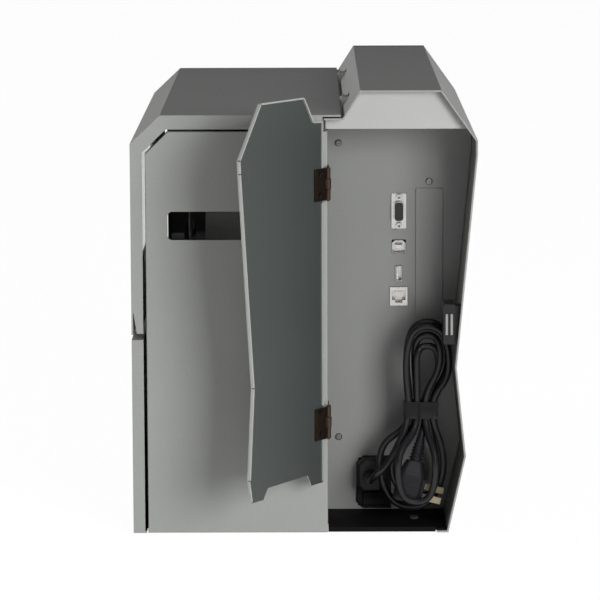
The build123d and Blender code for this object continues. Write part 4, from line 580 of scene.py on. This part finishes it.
def door_rim(bm, outer, inner, start, end, depth):
    """One turned edge between two shares of a side of the outline."""
    corners = []
    for share in (start, end):
        for a, b in (outer, inner):
            point = Vector(a).lerp(Vector(b), share)
            corners.append([bm.verts.new(door_place(point.x, n, point.y))
                            for n in (DOOR_SHEET - 0.5, depth)])
    a, b, c, d = corners
    for quad in ((a[0], a[1], b[1], b[0]), (c[0], c[1], d[1], d[0]), (a[0], a[1], c[1], c[0]),
                 (b[0], b[1], d[1], d[0]), (a[0], b[0], d[0], c[0]), (a[1], b[1], d[1], c[1])):
        bm.faces.new(quad)


class PRINTER_OT_rear_door(bpy.types.Operator):
    """Cable door: bent sheet with a turned rim and a dark inner sheet that is painted shade"""

    bl_idname = "printer.rear_door"
    bl_label = "Cable Door"

    def execute(self, context):
        case = context.scene.printer_case
        edge = list(DOOR_EDGE)
        bm = bmesh.new()
        back = DOOR_SHEET - DOOR_SHADE_LINING
        door_plate(bm, ((inset_edge(edge, 0.45), 0.0), (inset_edge(edge, 0.12), 0.2), (edge, 0.6),
                        (edge, back)))
        inner = inset_edge(edge, DOOR_SHEET)
        for i, depth in enumerate(DOOR_RIMS):
            if not depth:
                continue
            following = (i + 1) % len(edge)
            outer_side, inner_side = (edge[i], edge[following]), (inner[i], inner[following])
            length = (Vector(edge[following]) - Vector(edge[i])).length
            short = 0.5 / length
            spans = [(short, 1 - short)]
            if i == 0:
                cuts = [short]
                for height in HINGE_HEIGHTS:
                    for mark in (height - HINGE_ROOM, height + HINGE_ROOM):
                        cuts.append((mark - edge[0][1]) / length)
                cuts.append(1 - short)
                spans = list(zip(cuts[::2], cuts[1::2]))
            for start, end in spans:
                door_rim(bm, outer_side, inner_side, start, end, depth)
        # the door coat's lighter tone is a painted highlight on the turned rim
        finished("door_sheet", mesh_from(bm, "door_sheet", False),
                 coat("door_coat_and_highlight", tuple(case.rim), case.coat_roughness, case.flake), "rear_door",
                 ("rear_door",))
        # Dark inner sheet: its colour is painted shade on the door's inner face
        bm = bmesh.new()
        shade_lining = inset_edge(edge, 0.04)
        door_plate(bm, ((shade_lining, back - 0.02), (shade_lining, DOOR_SHEET)))
        finished("door_lining", mesh_from(bm, "door_lining", False),
                 coat("lining_coat", tuple(case.shade_lining), case.coat_roughness, case.flake, 0.6),
                 "rear_door")
        return {"FINISHED"}


# Casework

class PRINTER_OT_casework(bpy.types.Operator):
    """Coats for the covers, panels, cap and base; the panels' darker coat is painted shade and the cap's
    lighter coat partly a painted reflection
    """

    bl_idname = "printer.casework"
    bl_label = "Casework"

    def execute(self, context):
        case = context.scene.printer_case
        rough, flake = case.coat_roughness, case.flake
        dress(coat("cover_coat", tuple(case.cover), rough, flake),
              "electronics_cover", "media_cover", "lower_side_panel", "rear_media_panel")
        # the panel coat's darker tone is painted shade of the recessed port bay
        dress(coat("panel_shade_coat", tuple(case.panel), rough, flake),
              "front_media_panel", "bulkhead", "connector_panel", "expansion_cover")
        # the cap coat's lighter tone is partly the cap's own and partly a painted reflection
        dress(coat("cap_coat_and_reflection", tuple(case.cap), rough, flake), "rear_cap")
        dress(moulded("tray_coat", tuple(case.tray), 0.7, 0.0012, shine=0.1), "base_plate")
        dress(moulded("fascia_plastic", (0.055, 0.058, 0.062), 0.5), "front_fascia")
        dress(moulded("key_plastic", (0.26, 0.27, 0.29), 0.42), "front_key")
        dress(glass("display_pane", (0.008, 0.010, 0.013), 1.0), "display_glass")
        dress(glass("cover_pane", (0.30, 0.33, 0.34), 0.28), "cover_window")
        dress(moulded("foot_rubber", (0.02, 0.02, 0.02), 0.8), "rubber_feet")
        return {"FINISHED"}


class PRINTER_OT_metalwork(bpy.types.Operator):
    """Finishes for hinges, catch, ports, frame and bars"""

    bl_idname = "printer.metalwork"
    bl_label = "Metalwork"

    def execute(self, context):
        dress(metal("hinge_bronze", (0.085, 0.060, 0.046), 0.32, (1, 1, 0.15)),
              "door_hinge_leaves", "door_hinge_plates")
        dress(metal("hinge_steel", (0.56, 0.54, 0.50), 0.34, (1, 1, 0.15)),
              "cover_hinge_brackets", "cover_hinge_arms")
        dress(metal("port_shell", (0.66, 0.65, 0.63), 0.26, (0.3, 1, 1)),
              "serial_port", "usb_ports", "network_port")
        dress(metal("screw_steel", (0.30, 0.30, 0.30), 0.35), "panel_screws")
        dress(metal("catch_poles_steel", (0.50, 0.49, 0.47), 0.4, (1, 1, 0.2)), "catch_poles")
        dress(metal("bar_steel", (0.58, 0.58, 0.57), 0.3, (0.1, 1, 1)),
              "tear_bar", "damper_bar", "supply_spindle")
        dress(metal("cast_alloy", (0.50, 0.50, 0.51), 0.5), "print_frame", "printhead_carrier",
              "power_supply")
        dress(metal("bush_bronze", (0.60, 0.42, 0.20), 0.4), "platen_bushes", "motor_pinion")
        return {"FINISHED"}


class PRINTER_OT_mechanism(bpy.types.Operator):
    """Finishes for the rolls, guides, gears and moulded pieces"""

    bl_idname = "printer.mechanism"
    bl_label = "Mechanism"

    def execute(self, context):
        case = context.scene.printer_case
        black = tuple(case.plastic)
        dress(moulded("inlet_plastic", black, 0.5, shine=0.2), "power_inlet", "power_rocker")
        dress(moulded("catch_plastic", (0.012, 0.012, 0.013), 0.35, shine=0.3), "catch_body")
        dress(moulded("guide_plastic", tuple(case.guide), 0.48), "supply_hub", "roll_guide", "media_guide",
              "edge_guide", "ribbon_supply_spindle", "ribbon_takeup_spindle", "latch_lever", "drive_motor")
        dress(moulded("gear_plastic", (0.72, 0.70, 0.64), 0.4), "platen_gear", "idler_gear")
        dress(moulded("platen_rubber", (0.03, 0.03, 0.032), 0.6), "platen_roller")
        dress(moulded("head_ceramic", (0.62, 0.60, 0.56), 0.3), "thermal_head")
        dress(moulded("board_resin", (0.015, 0.09, 0.04), 0.35), "main_board", "rfid_antenna")
        roll_axis, ribbon_axis = (0, 0.1025, 0.215), (0, -0.060, 0.285)
        dress(wound("label_stock", (0.92, 0.92, 0.90), (0.74, 0.74, 0.72), roll_axis, 0.0007, 0.6),
              "label_roll")
        dress(wound("core_card", (0.42, 0.33, 0.23), (0.30, 0.23, 0.16), roll_axis, 0.0006, 0.85),
              "roll_core")
        dress(wound("ribbon_film", (0.02, 0.02, 0.025), (0.01, 0.01, 0.012), ribbon_axis, 0.0005, 0.25),
              "ribbon_roll")
        return {"FINISHED"}


PORT_X, PORT_Y = -0.0826, 0.1525
SERIAL_Z, NETWORK_Z = 0.2703, 0.1990
PIN_PITCH, PIN_ROWS, PIN_DEPTH = 0.00277, 0.00142, 0.0050
CONTACT_PITCH = 0.00102


class PRINTER_OT_contacts(bpy.types.Operator):
    """Contacts of the serial and network sockets"""

    bl_idname = "printer.contacts"
    bl_label = "Contacts"

    def execute(self, context):
        gold = metal("contact_gold", (0.85, 0.62, 0.26), 0.25)
        black = moulded("socket_insert", (0.012, 0.012, 0.013), 0.5)
        tree = row_tree("contact_rows", gold)
        rows = []
        for side, count in ((-1, 5), (1, 4)):
            x = PORT_X + side * PIN_ROWS
            z = SERIAL_Z - (count - 1) / 2 * PIN_PITCH
            rows.append(grown("serial_row", tree, {
                "Count": count, "Start": (x, PORT_Y + PIN_DEPTH, z), "Step": (0.0, 0.0, PIN_PITCH),
                "Size": (0.0009, 0.0009, 0.0016), "Round": True}))
        finished("serial_contacts", merged("serial_contacts", rows), gold, "chassis")
        network = grown("network_row", tree, {
            "Count": 8, "Start": (PORT_X - 3.5 * CONTACT_PITCH, PORT_Y - 0.0035, NETWORK_Z),
            "Step": (CONTACT_PITCH, 0.0, 0.0), "Size": (0.00036, 0.0070, 0.0009), "Round": False})
        finished("network_contacts", network, gold, "chassis")
        self.insert("serial_insert", black)
        return {"FINISHED"}

    def insert(self, name, material):
        """Black insulator inside the serial port's shell."""
        bm = bmesh.new()
        outline = []
        for cx, cz, start in ((1, 1, 0), (-1, 1, 90), (-1, -1, 180), (1, -1, 270)):
            for step in range(5):
                a = radians(start + step * 22.5)
                outline.append((PORT_X + cx * 0.0012 + 0.0023 * cos(a),
                                SERIAL_Z + cz * 0.0055 + 0.0023 * sin(a)))
        rings = [[bm.verts.new((x, y, z)) for x, z in outline]
                 for y in (PORT_Y + PIN_DEPTH, PORT_Y + PIN_DEPTH + 0.0008)]
        count = len(outline)
        for k in range(count):
            bm.faces.new((rings[0][k], rings[0][(k + 1) % count], rings[1][(k + 1) % count], rings[1][k]))
        bm.faces.new(rings[0])
        bm.faces.new(rings[1])
        finished(name, mesh_from(bm, name, False), material, "chassis")


# Stage

CAMERA_PLACE, CAMERA_TILT, CAMERA_TURN, CAMERA_ROLL = (-0.007, 3.0985, 0.650), 8.84, -0.21, -0.18
KEY_PLACE, KEY_SIZE = (-1.45, 2.85, 0.85), 1.3
FILL_PLACE, FILL_SIZE = (3.0, 0.5, 1.1), 1.2
GLINT_PLACE, GLINT_SIZE = (-0.8, 2.9, 1.9), 0.5
LAMP_AIM = (0.0, 0.05, 0.2)
# strength of the glow by the height of the direction, and the top of the pale horizon
GLOW = (("From Min", 0.45), ("From Max", 0.98), ("To Min", 0.03), ("To Max", 0.42))
HORIZON = (("From Min", 0.08), ("From Max", 0.09), ("To Min", 1.0), ("To Max", 0.0))
FLOOR_HALF, FLOOR_GLOW, FLOOR_SHARE = 16.0, 1.04, 0.93


class PRINTER_OT_stage(bpy.types.Operator):
    """Camera, lights, world and floor"""

    bl_idname = "printer.stage"
    bl_label = "Stage"

    def execute(self, context):
        stage = context.scene.printer_stage
        scene = context.scene
        scene.view_settings.view_transform = "Standard"
        self.camera(scene, stage.lens)
        self.lamp(scene, "key_light", KEY_PLACE, KEY_SIZE, stage.key_power)
        self.lamp(scene, "fill_light", FILL_PLACE, FILL_SIZE, stage.fill_power)
        self.lamp(scene, "glint_light", GLINT_PLACE, GLINT_SIZE, stage.glint_power, True)
        self.world(scene)
        self.floor(scene, tuple(stage.floor))
        return {"FINISHED"}

    def camera(self, scene, lens):
        """The photograph's view: from behind, a little above and far away."""
        pitch, yaw, roll = radians(CAMERA_TILT), radians(CAMERA_TURN), radians(CAMERA_ROLL)
        data = bpy.data.cameras.new("view")
        data.lens = lens
        data.sensor_width = 36.0
        data.clip_end = 60.0
        camera = bpy.data.objects.new("view", data)
        scene.collection.objects.link(camera)
        camera.location = CAMERA_PLACE
        turn = Matrix.Rotation(pi - yaw, 4, "Z") @ Matrix.Rotation(pi / 2 - pitch, 4, "X")
        camera.rotation_euler = (turn @ Matrix.Rotation(roll, 4, "Z")).to_euler()
        scene.camera = camera

    def lamp(self, scene, name, place, size, power, glint=False):
        """An area light that only matt surfaces show, or as a glint only glossy ones."""
        data = bpy.data.lights.new(name, "AREA")
        data.shape = "SQUARE"
        data.size = size
        data.energy = power
        lamp = bpy.data.objects.new(name, data)
        scene.collection.objects.link(lamp)
        lamp.location = place
        lamp.visible_glossy, lamp.visible_diffuse = glint, not glint
        aim = Vector(LAMP_AIM) - Vector(place)
        lamp.rotation_euler = aim.to_track_quat("-Z", "Y").to_euler()

    def world(self, scene):
        """Dim studio with a soft glow overhead and a pale band at the horizon, the backdrop."""
        world = scene.world or bpy.data.worlds.new("room")
        scene.world = world
        world.use_nodes = True
        tree = world.node_tree
        tree.nodes.clear()
        new, link = tree.nodes.new, tree.links.new
        out = new("ShaderNodeOutputWorld")
        place = new("ShaderNodeTexCoord")
        parts = new("ShaderNodeSeparateXYZ")
        link(place.outputs["Generated"], parts.inputs[0])
        glow = new("ShaderNodeMapRange")
        glow.interpolation_type = "SMOOTHSTEP"
        link(parts.outputs["Z"], glow.inputs["Value"])
        for key, value in GLOW:
            glow.inputs[key].default_value = value
        room = new("ShaderNodeBackground")
        room.inputs["Color"].default_value = (0.98, 0.99, 1.0, 1.0)
        link(glow.outputs["Result"], room.inputs["Strength"])
        backdrop = new("ShaderNodeBackground")
        backdrop.inputs["Color"].default_value = (1.0, 1.0, 1.0, 1.0)
        band = new("ShaderNodeMapRange")
        link(parts.outputs["Z"], band.inputs["Value"])
        for key, value in HORIZON:
            band.inputs[key].default_value = value
        seen = self.seen_rays(tree)
        both = new("ShaderNodeMath")
        both.operation = "MULTIPLY"
        link(band.outputs["Result"], both.inputs[0])
        link(seen, both.inputs[1])
        mix = new("ShaderNodeMixShader")
        link(both.outputs[0], mix.inputs[0])
        link(room.outputs[0], mix.inputs[1])
        link(backdrop.outputs[0], mix.inputs[2])
        link(mix.outputs[0], out.inputs["Surface"])

    def seen_rays(self, tree):
        """One for rays from the camera, a glossy surface or through glass, and else nought."""
        path = tree.nodes.new("ShaderNodeLightPath")
        total = path.outputs["Is Camera Ray"]
        for kind in ("Is Glossy Ray", "Is Transmission Ray"):
            more = tree.nodes.new("ShaderNodeMath")
            more.operation = "MAXIMUM"
            tree.links.new(total, more.inputs[0])
            tree.links.new(path.outputs[kind], more.inputs[1])
            total = more.outputs[0]
        return total

    def floor(self, scene, colour):
        """Wide pale floor that keeps the object's soft shadow."""
        bm = bmesh.new()
        bmesh.ops.create_grid(bm, x_segments=2, y_segments=2, size=FLOOR_HALF)
        mesh = mesh_from(bm, "floor")
        floor = bpy.data.objects.new("floor", mesh)
        scene.collection.objects.link(floor)
        made = Shade("floor_paint", colour, 0.8)
        made.shader.inputs["Specular IOR Level"].default_value = 0.1
        white = made.node("ShaderNodeEmission", {"Color": (1, 1, 1, 1), "Strength": FLOOR_GLOW})
        share = made.node("ShaderNodeMath", {0: self.seen_rays(made.tree), 1: FLOOR_SHARE},
                          operation="MULTIPLY")
        mix = made.node("ShaderNodeMixShader", {0: share.outputs[0], 1: made.shader.outputs[0],
                                                2: white.outputs[0]})
        out = made.tree.nodes["Material Output"]
        made.tree.links.new(mix.outputs[0], out.inputs["Surface"])
        mesh.materials.append(made.material)


class PRINTER_PT_panel(bpy.types.Panel):
    """The printer's pieces and their settings"""

    bl_idname = "PRINTER_PT_panel"
    bl_label = "Label Printer"
    bl_space_type = "VIEW_3D"
    bl_region_type = "UI"
    bl_category = "Printer"

    def draw(self, context):
        layout = self.layout
        scene = context.scene
        for group in (scene.printer_case, scene.printer_cord, scene.printer_stage):
            for name in group.__annotations__:
                layout.prop(group, name)
        for operator in PIECES:
            layout.operator(operator)


PIECES = ("printer.stage", "printer.power_cord", "printer.rear_door", "printer.casework",
          "printer.metalwork", "printer.mechanism", "printer.contacts")
CLASSES = (PrinterCasework, PrinterCord, PrinterStage, PRINTER_OT_stage, PRINTER_OT_power_cord,
           PRINTER_OT_rear_door, PRINTER_OT_casework, PRINTER_OT_metalwork, PRINTER_OT_mechanism,
           PRINTER_OT_contacts, PRINTER_PT_panel)


def register():
    for cls in CLASSES:
        bpy.utils.register_class(cls)
    bpy.types.Scene.printer_case = bpy.props.PointerProperty(type=PrinterCasework)
    bpy.types.Scene.printer_cord = bpy.props.PointerProperty(type=PrinterCord)
    bpy.types.Scene.printer_stage = bpy.props.PointerProperty(type=PrinterStage)


def unregister():
    del bpy.types.Scene.printer_case
    del bpy.types.Scene.printer_cord
    del bpy.types.Scene.printer_stage
    for cls in reversed(CLASSES):
        bpy.utils.unregister_class(cls)


def main():
    register()
    bpy.ops.printer.stage()
    bpy.ops.printer.power_cord()
    bpy.ops.printer.rear_door()
    bpy.ops.printer.casework()
    bpy.ops.printer.metalwork()
    bpy.ops.printer.mechanism()
    bpy.ops.printer.contacts()


if __name__ == "__main__":
    main()
